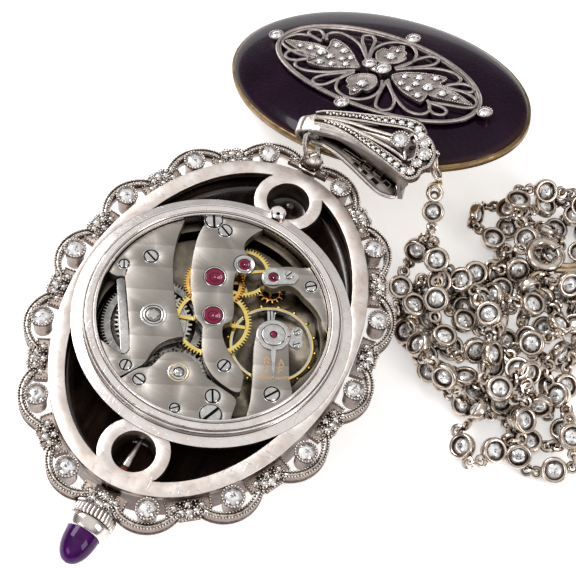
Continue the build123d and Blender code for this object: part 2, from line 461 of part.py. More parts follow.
# escape wheel with fifteen pointed, raked teeth
ep = []
for i in range(15):
    a0 = 12 + 24.0 * i
    for da, r in ((0, 0.98), (1.5, 1.30), (5.5, 1.30), (9, 0.98), (16, 0.95)):
        t = math.radians(a0 + da)
        ep.append((C_ESC[0] + r * math.cos(t), C_ESC[1] + r * math.sin(t)))
esc = prism(ep, 6.02, 6.14) - cyl(0.78, 0, 20, *C_ESC) + cyl(0.3, 6.02, 6.14, *C_ESC)
for k in range(4):
    esc += Pos(C_ESC[0], C_ESC[1], 6.08) * Rot(0, 0, 20 + 90 * k) * Pos(0.42, 0, 0) * Box(0.84, 0.16, 0.12)
esc += gear(C_ESC, rp_ep, N_EPIN, 6.4, 6.76, pin_phase(C_FOURTH, C_ESC, N_EPIN), 0.55, 0.2) + cyl(0.16, 5.95, 7.5, *C_ESC) + cyl(0.09, 5.1, 8.3, *C_ESC)
save("escape_wheel", esc)
# pallet fork between escape wheel and balance
fa = ang(FORK, C_BAL)
fork = cyl(0.26, 6.2, 6.32, *FORK) + cyl(0.085, 5.1, 6.5, *FORK) + cyl(0.16, 5.95, 6.35, *FORK)
fork += Pos(FORK[0], FORK[1], 6.26) * Rot(0, 0, fa) * Pos(1.25, 0, 0) * Box(2.5, 0.16, 0.12)
fork += Pos(FORK[0], FORK[1], 6.26) * Rot(0, 0, fa + 90) * Box(1.5, 0.2, 0.12)
fork += Pos(FORK[0], FORK[1], 6.26) * Rot(0, 0, fa) * Pos(2.42, 0, 0) * Box(0.12, 0.42, 0.12)
fork += Pos(FORK[0], FORK[1], 6.26) * Rot(0, 0, fa) * Pos(2.55, 0.16, 0) * Box(0.34, 0.1, 0.12) + Pos(FORK[0], FORK[1], 6.26) * Rot(0, 0, fa) * Pos(2.55, -0.16, 0) * Box(0.34, 0.1, 0.12)
save("pallet_fork", fork)
bal = ann(3.66, 3.40, 6.46, 6.78, *C_BAL) + cyl(0.42, 6.5, 6.66, *C_BAL)
for a in (119, 299):
    bal += Pos(C_BAL[0], C_BAL[1], 6.57) * Rot(0, 0, a) * Pos(1.75, 0, 0) * Box(3.5, 0.55, 0.14)
bal += cyl(0.22, 6.3, 7.25, *C_BAL) + cyl(0.09, 5.55, 8.2, *C_BAL) + cyl(0.36, 5.98, 6.12, *C_BAL) + cyl(0.15, 5.9, 6.5, *C_BAL)
save("balance_wheel", bal)
ts = []
for k in range(16):
    a = 119 + 22.5 * k + 11.25
    ts.append(Plane(origin=(C_BAL[0] + 3.835 * math.cos(math.radians(a)), C_BAL[1] + 3.835 * math.sin(math.radians(a)), 6.62),
                    z_dir=(math.cos(math.radians(a)), math.sin(math.radians(a)), 0)) * Cylinder(0.13, 0.33))
save("balance_screws", ts)
REG_Z0, REG_Z1 = BR_Z1 + 0.01, BR_Z1 + 0.15
reg = ann(1.44, 1.06, REG_Z0, REG_Z1, *C_BAL)
ra = math.degrees(math.atan2(-2.87 - 0.85, 7.30 - 5.40))
tipd = math.hypot(7.30 - 5.40, -2.87 - 0.85)
reg += Pos(C_BAL[0], C_BAL[1], REG_Z0) * Rot(0, 0, ra) * prism([(1.35, -0.22), (tipd, -0.03), (tipd, 0.03), (1.35, 0.22)], 0, REG_Z1 - REG_Z0)
reg -= Pos(C_BAL[0], C_BAL[1], 8.5) * Rot(0, 0, 22) * Pos(1.35, 0, 0) * Box(0.3, 0.1, 1)
save("regulator", reg)

crw = gear(C_CROWNW, rp_cw, N_CROWNW, 7.05, 7.30, pin_phase(C_BARREL, C_CROWNW, N_CROWNW), 0.55, 0.18) - cyl(0.39, 0, 20, *C_CROWNW)
save("crown_wheel", crw)
CLICK = (-8.05, 1.35)
ca = ang(CLICK, (-7.02, -0.22))
click = cyl(0.42, 7.05, 7.28, *CLICK) + Pos(CLICK[0], CLICK[1], 7.165) * Rot(0, 0, ca) * prism([(0, -0.3), (1.72, -0.12), (1.78, 0.06), (0, 0.3)], -0.115, 0.115)
click -= cyl(0.2, 0, 20, *CLICK)
save("click", click)
save("wheel_studs", [cws, cyl(0.17, 6.9, 7.43, *CLICK) + cyl(0.34, 6.9, 7.02, *CLICK), cyl(0.17, PLATE_Z1, 7.0, *SETW) + cyl(0.34, PLATE_Z1, 6.72, *SETW)])

# winding stem: tapered outside the movement, with the winding pinion inside
stem = Pos(0, -9.6, STEM_Z) * Rot(90, 0, 0) * Cylinder(0.2, 4.6) + Pos(0, -13.4, STEM_Z) * Rot(90, 0, 0) * Cone(0.2, STEM_R, 3.1) + Pos(0, -16.95, STEM_Z) * Rot(90, 0, 0) * Cylinder(STEM_R, 4.06)
stem += Pos(0, -15.1, STEM_Z) * Rot(90, 0, 0) * Cylinder(0.36, 0.5)
wp = []
for i in range(12):
    for da, r in ((-7.5, 0.72), (-3, 0.9), (3, 0.9), (7.5, 0.72)):
        t = math.radians(30 * i + da)
        wp.append((r * math.cos(t), r * math.sin(t)))
pin = Pos(0, -8.0, STEM_Z) * Rot(90, 0, 0) * extrude(make_face(Polyline(wp, close=True).edges()), amount=0.65)
stem += pin
save("winding_stem", stem)

cpts = []
NK = 40
for i in range(NK):
    for da, r in ((-2.6, 1.66), (-1.2, 1.76), (1.2, 1.76), (2.6, 1.66)):
        t = math.radians(360 / NK * i + da)
        cpts.append((r * math.cos(t), r * math.sin(t)))
knurl = Pos(0, CROWN_Y, STEM_Z) * Rot(90, 0, 0) * extrude(make_face(Polyline(cpts, close=True).edges()), amount=0.95)
crown = knurl + Pos(0, CROWN_Y - 0.95 - 0.425, STEM_Z) * Rot(90, 0, 0) * Cone(1.62, 1.34, 0.85)
crown += Pos(0, CROWN_Y - 1.9, STEM_Z) * Rot(90, 0, 0) * Cylinder(1.42, 0.3)
crown -= Pos(0, CROWN_Y - 1.9, STEM_Z) * Rot(90, 0, 0) * Cylinder(1.22, 0.32)
save("crown_shell", crown)
cab = scale(Sphere(1.0), by=(1.2, 2.6, 1.2)) & (Pos(0, -2.0, 0) * Box(4, 4, 4))
cab = Pos(0, CROWN_Y - 2.0, STEM_Z) * (cab + Pos(0, 0.05, 0) * Rot(90, 0, 0) * Cylinder(1.19, 0.1) & (Pos(0, -1.9, 0) * Box(4, 4, 4)))
save("crown_cabochon", cab)

# ---- hands ---------------------------------------------------------------------


def hand(length, w, z0, z1, tail, angle, hub, bore):
    h = prism([(-tail, -w * 0.35), (0, -w / 2), (length * 0.72, -w * 0.55), (length, 0), (length * 0.72, w * 0.55), (0, w / 2), (-tail, w * 0.35)], z0, z1)
    h = Rot(0, 0, angle) * h + cyl(hub, z0, z1)
    return h - cyl(bore, 0, 20)


save("minute_hand", hand(8.0, 0.5, 3.3, 3.42, 1.6, 62, 0.6, 0.3))
hh = hand(5.6, 0.75, 3.62, 3.74, 1.2, 128, 0.85, 0.36) + ann(0.62, 0.36, 3.62, 4.62)
save("hour_hand", hh)

# ---- bow and bail --------------------------------------------------------------
O = (-0.97, 20.1, 11.2)
U = (0.957, 0.2052, 0.2052)
V = (-0.2181, 0.975, 0.0422)
W = (-0.1914, -0.0851, 0.9778)
TOP = (-0.953, 20.237, 10.50)         # middle of the bow's upper wire
bl = LUG
az = (TOP[0] - bl[0], TOP[1] - bl[1], TOP[2] - bl[2])
dotb = az[0] * BOW_B[0] + az[1] * BOW_B[1] + az[2] * BOW_B[2]
az = vec(az, BOW_B, -dotb)
bow_h = math.sqrt(sum(q * q for q in az))
bow_plane = Plane(origin=bl, x_dir=BOW_B, z_dir=(BOW_B[1] * az[2] - BOW_B[2] * az[1], BOW_B[2] * az[0] - BOW_B[0] * az[2], BOW_B[0] * az[1] - BOW_B[1] * az[0]))
WIRE = 0.23
SPAN = 0.60
path = FilletPolyline((SPAN, -0.05), (SPAN + 0.1, bow_h * 0.55), (SPAN * 0.8, bow_h + 0.02), (-SPAN * 0.8, bow_h + 0.02), (-SPAN - 0.1, bow_h * 0.55), (-SPAN, -0.05), radius=0.4)
prof = Plane(origin=(SPAN, -0.05, 0), z_dir=(0.1, bow_h * 0.55, 0)) * Circle(WIRE)
bow = sweep(prof, path=path)
for sx in (1, -1):
    bow += Pos(sx * (0.39 + WIRE * 0.5 + 0.06), 0.0, 0) * Rot(0, 90, 0) * Cylinder(0.3, WIRE + 0.12)
bow = bow_plane * bow
bow -= knob
bow = max(bow.solids(), key=lambda q: q.volume)
save("bow", bow)

bail_plane = Plane(origin=O, x_dir=U, z_dir=W)
FR = [(-0.25, -0.55), (-0.3, 0.75), (0.3, 1.25), (1.36, 1.55), (3.23, 1.78), (5.55, 1.97), (7.82, 2.3), (9.18, 2.42), (10.12, 1.88), (10.6, 0.75), (11.2, 0.15), (11.75, -0.7), (11.8, -1.6), (11.5, -2.75),
      (10.87, -3.2), (10.6, -4.1), (10.0, -4.35), (9.3, -4.05), (8.1, -3.22), (5.98, -2.0), (3.9, -1.1), (1.79, -0.6), (0.4, -0.6)]
slit_u = [(3.6, 0.55), (5.2, 0.95), (7.4, 1.15), (8.95, 0.95), (9.1, 0.55), (8.2, 0.42), (6.2, 0.38)]
slit_l = [(3.2, 0.1), (5.2, -0.15), (7.0, -0.55), (8.0, -1.15), (9.3, -2.05), (9.55, -2.5), (8.9, -2.75), (7.4, -1.9), (5.4, -0.95), (3.9, -0.35)]
hole1 = arc_pts(0.28, 0, 330, 12, 9.55, -0.85)
leaf = prism(chaikin(FR, 2), 0.05, 0.5) - prism(chaikin(slit_u, 2), -1, 2) - prism(chaikin(slit_l, 2), -1, 2) - prism(hole1, -1, 2)
BK = [(-0.25, -0.5), (-0.25, 0.75), (0.67, 0.85), (1.41, 0.8), (3.55, 0.06), (6.0, -1.2), (8.06, -2.1), (8.7, -2.6), (8.87, -3.18), (8.7, -3.75), (8.28, -3.95), (7.14, -3.86), (5.6, -2.9), (4.01, -1.84), (2.4, -0.9), (1.09, -0.45)]
back_a = math.degrees(math.atan2(1.9, 9.0))
back = Pos(0, 0, -1.7) * Rot(0, back_a, 0) * prism(chaikin(BK, 2), -0.2, 0.2)
fold = Pos(-0.2, 0.1, -0.7) * Rot(90, 0, 0) * (Cylinder(1.2, 1.25) - Cylinder(0.85, 2))
fold = fold & (Pos(-1.5, 0, -0.7) * Box(2.6, 4, 4))
bail = leaf + back + fold + Pos(9.0, -3.3, -1.65) * Box(0.45, 1.2, 3.45)
bail = bail_plane * bail
# clear of the bow's wire and of the cover's edge
room = bow_plane * sweep(Plane(origin=(SPAN, -0.05, 0), z_dir=(0.1, bow_h * 0.55, 0)) * Circle(WIRE + 0.1), path=path)
tunnel = Axis(vec(vec(vec(O, U, -0.2), V, 0.1), W, -0.7), V)
for k in range(0, 15):
    bail -= room.rotate(tunnel, 3.0 * k)
bail -= Plane(origin=CC, x_dir=CXD, z_dir=CZD) * ell(COV_A + 0.08, COV_B + 0.08, -0.4, 0.45)
bail = max(bail.solids(), key=lambda q: q.volume)
save("bail_frame", bail)
bst = [(8.37, -0.2, 0.72), (9.35, 1.65, 0.55), (10.9, -0.95, 0.62), (10.05, -3.55, 0.5), (11.2, -1.95, 0.38), (10.2, 0.95, 0.38),
       (8.2, 1.62, 0.36), (7.35, 1.55, 0.33), (6.6, 1.48, 0.3), (5.9, 1.42, 0.28), (9.3, -3.1, 0.36), (8.55, -2.75, 0.34), (7.75, -2.35, 0.32), (7.0, -1.95, 0.3), (6.3, -1.58, 0.28)]
save("bail_stones", [bail_plane * Pos(u, v, 0.505 + 0.15) * Cone(r, r * 0.6, 0.3) for u, v, r in bst])

# ---- chain ----------------------------------------------------------------------
# drop: links the bail to the two strands; the first ring hangs on the bail
P_RING1 = (11.05, 21.35, 11.6)
P_RING2 = (11.68, 20.3, 10.15)
P_BEZ = (12.25, 19.3, 8.3)
P_RING3 = (12.85, 18.25, 7.0)


def ring_at(c, zd, R, r):
    return Plane(origin=c, z_dir=zd) * Torus(R, r)


save("bail_ring", ring_at(P_RING1, (0.75, 0.6, 0.28), 0.72, 0.17))
save("drop_rings", [ring_at(P_RING2, (0.55, -0.5, 0.67), 0.62, 0.16), ring_at(P_RING3, (0.8, 0.5, -0.2), 0.60, 0.16)])
dv = (0.35, -0.62, -0.70)
dl = math.sqrt(sum(q * q for q in dv))
dv = tuple(q / dl for q in dv)
bz = (0.35, -0.62, 0.70)
bez0 = Plane(origin=P_BEZ, z_dir=(0.1, -0.62, 0.78)) * (Cylinder(1.02, 0.75) - Pos(0, 0, 0.3) * Cylinder(0.78, 0.4))
save("drop_bezel", bez0 + Plane(origin=P_BEZ, z_dir=(0.1, -0.62, 0.78)) * Pos(0, 0, 0.1 + 0.11) * Cone(0.79, 0.45, 0.24))

STRAND_A = [(12.45, 17.55, 6.1), (12.3, 16.75, 4.7), (12.35, 16.15, 3.55), (12.9, 15.75, 2.7)]
STRAND_B = [(13.45, 18.0, 6.1), (14.25, 17.85, 4.7), (15.05, 17.7, 3.55), (15.75, 17.55, 2.7)]


def tube_path(pts, name):
    vs = [Vector(*p) for p in pts]
    radii = []
    for i in range(1, len(vs) - 1):
        a, b = vs[i] - vs[i - 1], vs[i + 1] - vs[i]
        turn = a.get_angle(b)
        radii.append(0.45 * min(a.length, b.length) / math.tan(math.radians(turn) / 2))
    p = FilletPolyline(*pts, radius=radii)
    t = sweep(Plane(origin=pts[0], z_dir=tuple(vs[1] - vs[0])) * Circle(CHAIN_D / 2), path=p)
    print(name, "radii", [round(r, 2) for r in radii], "length", round(p.length, 2), "volume ratio", round(t.volume / (p.length * math.pi * CHAIN_D ** 2 / 4), 4))
    return t


sa = tube_path(STRAND_A, "chain_strand_a")
sb = tube_path(STRAND_B, "chain_strand_b")
save("chain_strands", [sa, sb])

# heap of chain: closed outer shape, lower at its edge
HEAP = [(11.5, 14.0), (12.3, 15.3), (13.1, 16.4), (14.2, 16.9), (15.3, 18.2), (15.3, 19.8), (14.9, 21.2), (15.4, 22.8), (15.1, 24.6), (15.0, 26.4), (15.3, 28.4), (16.9, 29.4), (18.4, 30.8),
        (20.0, 32.1), (22.6, 33.0), (25.2, 33.0), (27.4, 30.8), (28.9, 27.6), (30.4, 23.2), (31.8, 18.4), (33.0, 13.6), (33.7, 9.4), (33.2, 5.8), (31.6, 3.6), (29.6, 3.5), (27.6, 4.1), (26.2, 3.0), (24.0, 2.2),
        (22.6, 2.9), (22.9, 4.6), (23.0, 6.2), (21.0, 6.2), (19.4, 6.4), (17.8, 7.4), (16.6, 8.6), (15.0, 9.1), (13.6, 10.6), (12.4, 12.4)]
HC = (22.5, 17.0)


def shrink(pts, k):
    out = []
    for x, y in pts:
        dx, dy = HC[0] - x, HC[1] - y
        d = math.hypot(dx, dy)
        out.append((x + dx / d * k, y + dy / d * k))
    return out


h0 = prism(HEAP, 0.0, 1.5)
h1 = prism(shrink(HEAP, 1.3), 1.5, 2.6)
h2 = prism(shrink(HEAP, 3.6), 2.6, 3.3)
heap = h0 + h1 + h2
heap -= sa + sb
heap = max(heap.solids(), key=lambda q: q.volume)
save("chain_heap", heap)

CL = (23.0, 23.7, 3.95)
cbody = Pos(*CL) * (Torus(1.42, 0.44) - Torus(1.42, 0.31))
cut = Pos(*CL) * prism([(0, 0), (3 * math.cos(math.radians(15)), 3 * math.sin(math.radians(15))), (3 * math.cos(math.radians(58)), 3 * math.sin(math.radians(58)))], -1, 1)
cbody -= cut
cbody += Pos(CL[0] - 2.25, CL[1] - 0.6, CL[2]) * Rot(0, 0, 15) * Torus(0.5, 0.17)
cbody -= Pos(*CL) * Torus(1.42, 0.31)
cbody = max(cbody.solids(), key=lambda q: q.volume)
save("clasp_body", cbody)
cb = Pos(*CL) * (Torus(1.42, 0.26) & prism([(0, 0)] + arc_pts(3, 2, 150, 12), -1, 1))
cb = max(cb.solids(), key=lambda q: q.volume)
save("clasp_bolt", cb)

# ---- cover --------------------------------------------------------------------
cov_plane = Plane(origin=CC, x_dir=CXD, z_dir=CZD)
shell = ell(COV_A, COV_B, -0.3, 0.32) - ell(COV_A - 0.55, COV_B - 0.55, -1, -0.08)
shell -= ell(COV_A - 0.62, COV_B - 0.62, 0.14, 2)
save("cover_shell", cov_plane * shell)
cap_box = Pos(0, 0, 2.5 + 0.15) * Box(40, 30, 5)
dome = (Pos(0, 0, 0.15) * scale(Sphere(1.0), by=(COV_A - 0.66, COV_B - 0.66, DOME))) & cap_box
save("cover_enamel", cov_plane * dome)


def dome_z(x, y, lift=0.0):
    q = 1 - (x / (COV_A - 0.66)) ** 2 - (y / (COV_B - 0.66)) ** 2
    return 0.15 + DOME * math.sqrt(max(q, 0.0)) + lift


outer = Pos(0, 0, 0.15) * scale(Sphere(1.0), by=(COV_A - 0.2, COV_B - 0.2, DOME + 0.36))
inner = Pos(0, 0, 0.15) * scale(Sphere(1.0), by=(COV_A - 0.62, COV_B - 0.62, DOME + 0.03))
PCX, PCY, PA, PB = 0.8, 0.0, 12.3, 5.5
ring2 = make_face(Ellipse(PA, PB).edges()) - make_face(Ellipse(PA - 0.5, PB - 0.5).edges())
flat = extrude(ring2, amount=4)


def leafshape(cx, cy, length, width, angle):
    pts = []
    for i in range(13):
        t = i / 12.0
        pts.append((length * (t - 0.5), width / 2 * math.sin(math.pi * t) ** 0.8))
    pts += [(p[0], -p[1]) for p in pts[-2:0:-1]]
    return Pos(cx, cy, 0) * Rot(0, 0, angle) * prism(pts, 0, 4)


for sx in (1, -1):
    flat += leafshape(sx * 5.4, 0, 7.6, 2.9, 0)
    flat += Pos(sx * 10.4, 0, 2) * Box(3.0, 0.45, 4)
for sy in (1, -1):
    flat += leafshape(0, sy * 2.9, 3.4, 2.2, 90)
    for sx in (1, -1):
        for (x, y, r) in ((2.4, 3.2, 1.15), (5.2, 3.0, 1.2), (8.0, 2.35, 0.95)):
            flat += Pos(sx * x, sy * y, 2) * (Cylinder(r, 4) - Cylinder(r - 0.3, 5))
flat += Pos(0, 0, 2) * Cylinder(1.5, 4)
flat += Pos(0, 5.35, 2) * Box(0.6, 1.2, 4) + Pos(0, -5.35, 2) * Box(0.6, 1.2, 4)
flat = Pos(PCX, PCY, 0.6) * flat
plaque = (flat & outer) - inner
plaque = [q for q in plaque.solids() if q.volume > 0.05]
save("cover_lattice", [cov_plane * q for q in plaque])
gems = [(0, 0, 0.75), (1.6, 0, 0.45), (-1.6, 0, 0.45), (12.05, 0, 0.7), (-12.05, 0, 0.7), (0, 5.25, 0.65), (0, -5.25, 0.65)]
for sx in (1, -1):
    gems += [(sx * 3.4, 0, 0.5), (sx * 4.7, 0, 0.6), (sx * 6.1, 0, 0.55), (sx * 7.4, 0, 0.42)]
for sy in (1, -1):
    gems += [(0, sy * 2.3, 0.45), (0, sy * 3.4, 0.4)]
gl = []
for x, y, r in gems:
    X, Y = PCX + x, PCY + y
    z = 0.15 + (DOME + 0.36) * math.sqrt(max(0.0, 1 - (X / (COV_A - 0.2)) ** 2 - (Y / (COV_B - 0.2)) ** 2)) + 0.13
    nx, ny, nz = X / (COV_A ** 2), Y / (COV_B ** 2), (z - 0.15) / (DOME + 0.36) ** 2
    gl.append(cov_plane * (Plane(origin=(X, Y, z), z_dir=(nx, ny, nz)) * (Pos(0, 0, 0.02) * Cone(r, r * 0.62, 0.3))))
save("cover_stones", gl)
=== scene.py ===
import bpy
import bmesh
import math
import numpy as np
from mathutils import Vector, Matrix


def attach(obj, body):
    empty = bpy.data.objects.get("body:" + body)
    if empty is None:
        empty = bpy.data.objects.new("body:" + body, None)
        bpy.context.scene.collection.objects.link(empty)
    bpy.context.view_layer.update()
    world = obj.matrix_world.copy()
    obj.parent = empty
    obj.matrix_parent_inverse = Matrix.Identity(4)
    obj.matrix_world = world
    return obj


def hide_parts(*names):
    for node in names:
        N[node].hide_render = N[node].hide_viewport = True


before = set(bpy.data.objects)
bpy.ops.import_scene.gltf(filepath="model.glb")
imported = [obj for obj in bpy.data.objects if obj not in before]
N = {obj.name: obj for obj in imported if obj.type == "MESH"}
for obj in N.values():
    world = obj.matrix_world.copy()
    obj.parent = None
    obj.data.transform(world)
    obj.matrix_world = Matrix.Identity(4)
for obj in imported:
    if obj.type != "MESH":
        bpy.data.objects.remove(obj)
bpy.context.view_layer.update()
MM = 0.001
RNG = np.random.default_rng(11)

# ------------------------------------------------------------------ camera, light, floor
scene = bpy.context.scene
scene.view_settings.view_transform = "Standard"
scene.view_settings.look = "None"
scene.view_settings.exposure = 0.0
cam_data = bpy.data.cameras.new("camera")
cam = bpy.data.objects.new("camera", cam_data)
scene.collection.objects.link(cam)
cam_data.sensor_width = 36.0
cam_data.lens = 90.074
cam_data.clip_start, cam_data.clip_end = 0.005, 5.0
right = Vector((0.8863676, 0.4501761, 0.1081384))
up = Vector((-0.4414011, 0.7511977, 0.4907821))
back = Vector((0.1397051, -0.4827460, 0.8645455))
cam.matrix_world = Matrix(((right.x, up.x, back.x, 0.02192787), (right.y, up.y, back.y, -0.05504312), (right.z, up.z, back.z, 0.11715677), (0, 0, 0, 1)))
scene.camera = cam


def mat_new(name):
    m = bpy.data.materials.new(name)
    m.use_nodes = True
    nt = m.node_tree
    for n in list(nt.nodes):
        nt.nodes.remove(n)
    out = nt.nodes.new("ShaderNodeOutputMaterial")
    b = nt.nodes.new("ShaderNodeBsdfPrincipled")
    nt.links.new(b.outputs["BSDF"], out.inputs["Surface"])
    return m, nt, b


def node(nt, kind, **kw):
    n = nt.nodes.new(kind)
    for k, v in kw.items():
        if k in n.inputs:
            n.inputs[k].default_value = v
        else:
            setattr(n, k, v)
    return n


def coords(nt, scale=(1, 1, 1), rot=(0, 0, 0)):
    """Object coordinates in millimetres, stretched and turned."""
    tc = node(nt, "ShaderNodeTexCoord")
    mp = node(nt, "ShaderNodeMapping")
    mp.inputs["Scale"].default_value = tuple(1000.0 * s for s in scale)
    mp.inputs["Rotation"].default_value = rot
    nt.links.new(tc.outputs["Object"], mp.inputs["Vector"])
    return mp.outputs["Vector"]


def noise(nt, vec, scale, detail=3.0, rough=0.6):
    n = node(nt, "ShaderNodeTexNoise")
    n.inputs["Scale"].default_value = scale
    n.inputs["Detail"].default_value = detail
    n.inputs["Roughness"].default_value = rough
    nt.links.new(vec, n.inputs["Vector"])
    return n.outputs["Fac"]


def ramp(nt, fac, stops):
    r = node(nt, "ShaderNodeValToRGB")
    els = r.color_ramp.elements
    while len(els) < len(stops):
        els.new(0.5)
    for e, (p, c) in zip(els, stops):
        e.position = p
        e.color = (*c, 1.0) if len(c) == 3 else c
    nt.links.new(fac, r.inputs["Fac"])
    return r.outputs["Color"]


def rng_map(nt, fac, a, b, lo=0.0, hi=1.0):
    r = node(nt, "ShaderNodeMapRange")
    r.inputs["From Min"].default_value = lo
    r.inputs["From Max"].default_value = hi
    r.inputs["To Min"].default_value = a
    r.inputs["To Max"].default_value = b
    nt.links.new(fac, r.inputs["Value"])
    return r.outputs["Result"]


def math2(nt, op, a, b):
    n = node(nt, "ShaderNodeMath", operation=op)
    for i, v in enumerate((a, b)):
        if v is None:
            continue
        if isinstance(v, (int, float)):
            n.inputs[i].default_value = v
        else:
            nt.links.new(v, n.inputs[i])
    return n.outputs[0]


def mixc(nt, fac, a, b, mode="MIX"):
    n = node(nt, "ShaderNodeMix", data_type="RGBA", blend_type=mode)
    for idx, v in ((0, fac), (6, a), (7, b)):
        if isinstance(v, (int, float)):
            n.inputs[idx].default_value = v
        elif isinstance(v, tuple):
            n.inputs[idx].default_value = (*v, 1.0)
        else:
            nt.links.new(v, n.inputs[idx])
    return n.outputs[2]


def bump(nt, b, height, strength, dist_mm):
    n = node(nt, "ShaderNodeBump")
    n.inputs["Strength"].default_value = strength
    n.inputs["Distance"].default_value = dist_mm * MM
    nt.links.new(height, n.inputs["Height"])
    nt.links.new(n.outputs["Normal"], b.inputs["Normal"])
    return n


def metal(name, c1, c2, r0, r1, patch=0.6, grain=9.0, scratch=0.0, scr_dir=0.5, dark=None, bump_s=0.25, ao=0.0, wall=None, keep=0.0):
    """Metal with patchy tone, a fine grain, optional scratches, optional painted shade on upright faces and optional
    painted shade in recesses.
    """
    m, nt, b = mat_new(name)
    b.inputs["Metallic"].default_value = 1.0
    v = coords(nt)
    p = noise(nt, v, patch, 4.0, 0.6)
    col = ramp(nt, p, [(0.30, c1), (0.70, c2)])
    g = noise(nt, v, grain, 3.0, 0.7)
    rough = rng_map(nt, noise(nt, v, patch * 2.3, 5.0, 0.65), r0, r1, 0.3, 0.7)
    h = g
    if scratch > 0:
        s1 = noise(nt, coords(nt, (0.45, 9.0, 9.0), (0, 0, scr_dir)), 1.6, 2.0, 0.5)
        s2 = noise(nt, coords(nt, (8.0, 0.5, 8.0), (0, 0, scr_dir * 0.4)), 1.3, 2.0, 0.5)
        lines = math2(nt, "MAXIMUM", rng_map(nt, s1, 0.0, 1.0, 0.66, 0.74), rng_map(nt, s2, 0.0, 1.0, 0.68, 0.76))
        col = mixc(nt, math2(nt, "MULTIPLY", lines, scratch), col, tuple(min(1.0, q * 0.55) for q in c1))
        h = math2(nt, "SUBTRACT", g, math2(nt, "MULTIPLY", lines, 1.2))
    if wall is not None:
        # painted shade: upright faces get a darker colour and faces that lie flat keep the bright one, as the light
        # falls from above
        geo = node(nt, "ShaderNodeNewGeometry")
        sep = node(nt, "ShaderNodeSeparateXYZ")
        nt.links.new(geo.outputs["Normal"], sep.inputs["Vector"])
        flat = rng_map(nt, math2(nt, "ABSOLUTE", sep.outputs["Z"], None), keep, 1.0, 0.30, 0.78)
        col = mixc(nt, flat, ramp(nt, p, [(0.30, tuple(0.6 * q for q in wall)), (0.70, wall)]), col)
    if dark is not None:
        # painted shade: ambient occlusion darkens the colour in recesses and between parts
        a = node(nt, "ShaderNodeAmbientOcclusion")
        a.samples = 8
        a.inputs["Distance"].default_value = ao * MM
        fac = rng_map(nt, a.outputs["AO"], 0.0, 1.0, 0.25, 0.80)
        col = mixc(nt, fac, dark, col)
    nt.links.new(col, b.inputs["Base Color"])
    nt.links.new(rough, b.inputs["Roughness"])
    bump(nt, b, h, bump_s, 0.02)
    return m


def assign(obj, *mats):
    obj.data.materials.clear()
    for m in mats:
        obj.data.materials.append(m)


M = {}
# in these calls the tenth argument is the painted shade colour for recesses and the thirteenth the painted shade colour
# for upright faces
M["rim"] = metal("white_gold_rim", (0.70, 0.590, 0.53), (0.97, 0.925, 0.895), 0.26, 0.48, 0.55, 6.0, 1.0, 0.9, (0.20, 0.12, 0.09), 0.45, 0.25, (0.30, 0.205, 0.175), 0.1)
M["ring"] = metal("white_gold_ring", (0.84, 0.76, 0.725), (1.0, 0.96, 0.94), 0.14, 0.28, 0.5, 7.0, 0.6, 2.0, (0.10, 0.06, 0.045), 0.3, 0.3, (0.34, 0.25, 0.22), 0.15)
M["case"] = metal("white_gold_case", (0.50, 0.42, 0.385), (0.78, 0.70, 0.66), 0.22, 0.42, 0.6, 7.0, 0.4, 0.4, (0.030, 0.016, 0.011), 0.3, 1.6, (0.165, 0.105, 0.087))
M["plat"] = metal("platinum_work", (0.66, 0.58, 0.52), (0.93, 0.87, 0.82), 0.18, 0.38, 1.6, 12.0, 0.0, 0, (0.075, 0.045, 0.03), 0.25, 0.55, (0.24, 0.165, 0.135), 0.12)
M["plat2"] = metal("platinum_smooth", (0.62, 0.55, 0.50), (0.86, 0.80, 0.76), 0.16, 0.34, 0.9, 9.0, 0.15, 0.3, (0.10, 0.07, 0.055), 0.2, 1.0)
# the toned silver's recess colour is partly its own oxide and partly painted shade between the heaped links
M["chain"] = metal("toned_silver", (0.46, 0.365, 0.30), (0.88, 0.79, 0.71), 0.12, 0.30, 1.1, 8.0, 0.0, 0, (0.016, 0.008, 0.006), 0.22, 1.15)
M["solder"] = metal("gold_solder", (0.62, 0.42, 0.20), (0.86, 0.66, 0.38), 0.2, 0.38, 2.0, 9.0, 0.0, 0, (0.05, 0.025, 0.012), 0.25, 0.6)
M["steel"] = metal("polished_steel", (0.50, 0.49, 0.48), (0.78, 0.78, 0.77), 0.10, 0.24, 1.5, 9.0, 0.2, 0.8, (0.03, 0.03, 0.03), 0.12, 0.35)
M["gear"] = metal("gear_steel", (0.20, 0.195, 0.19), (0.50, 0.49, 0.47), 0.18, 0.36, 1.2, 8.0, 0.2, 0.1, (0.02, 0.018, 0.016), 0.2, 0.6)
M["gilt"] = metal("gilt_brass", (0.88, 0.56, 0.10), (1.0, 0.78, 0.27), 0.16, 0.32, 1.2, 10.0, 0.2, 0.7, (0.16, 0.08, 0.01), 0.15, 0.35)
M["blued"] = metal("blued_steel", (0.02, 0.03, 0.12), (0.05, 0.09, 0.30), 0.12, 0.3, 1.2, 9.0)
M["gold_edge"] = metal("gilt_edge", (0.13, 0.078, 0.036), (0.40, 0.275, 0.13), 0.30, 0.50, 0.7, 6.0, 0.3, 0.3, None, 0.3)
M["plate"] = metal("main_plate_dark", (0.135, 0.112, 0.085), (0.33, 0.285, 0.225), 0.22, 0.42, 0.5, 6.0, 0.3, 0.9, (0.006, 0.005, 0.004), 0.2, 1.7, (0.06, 0.048, 0.036), 0.0)


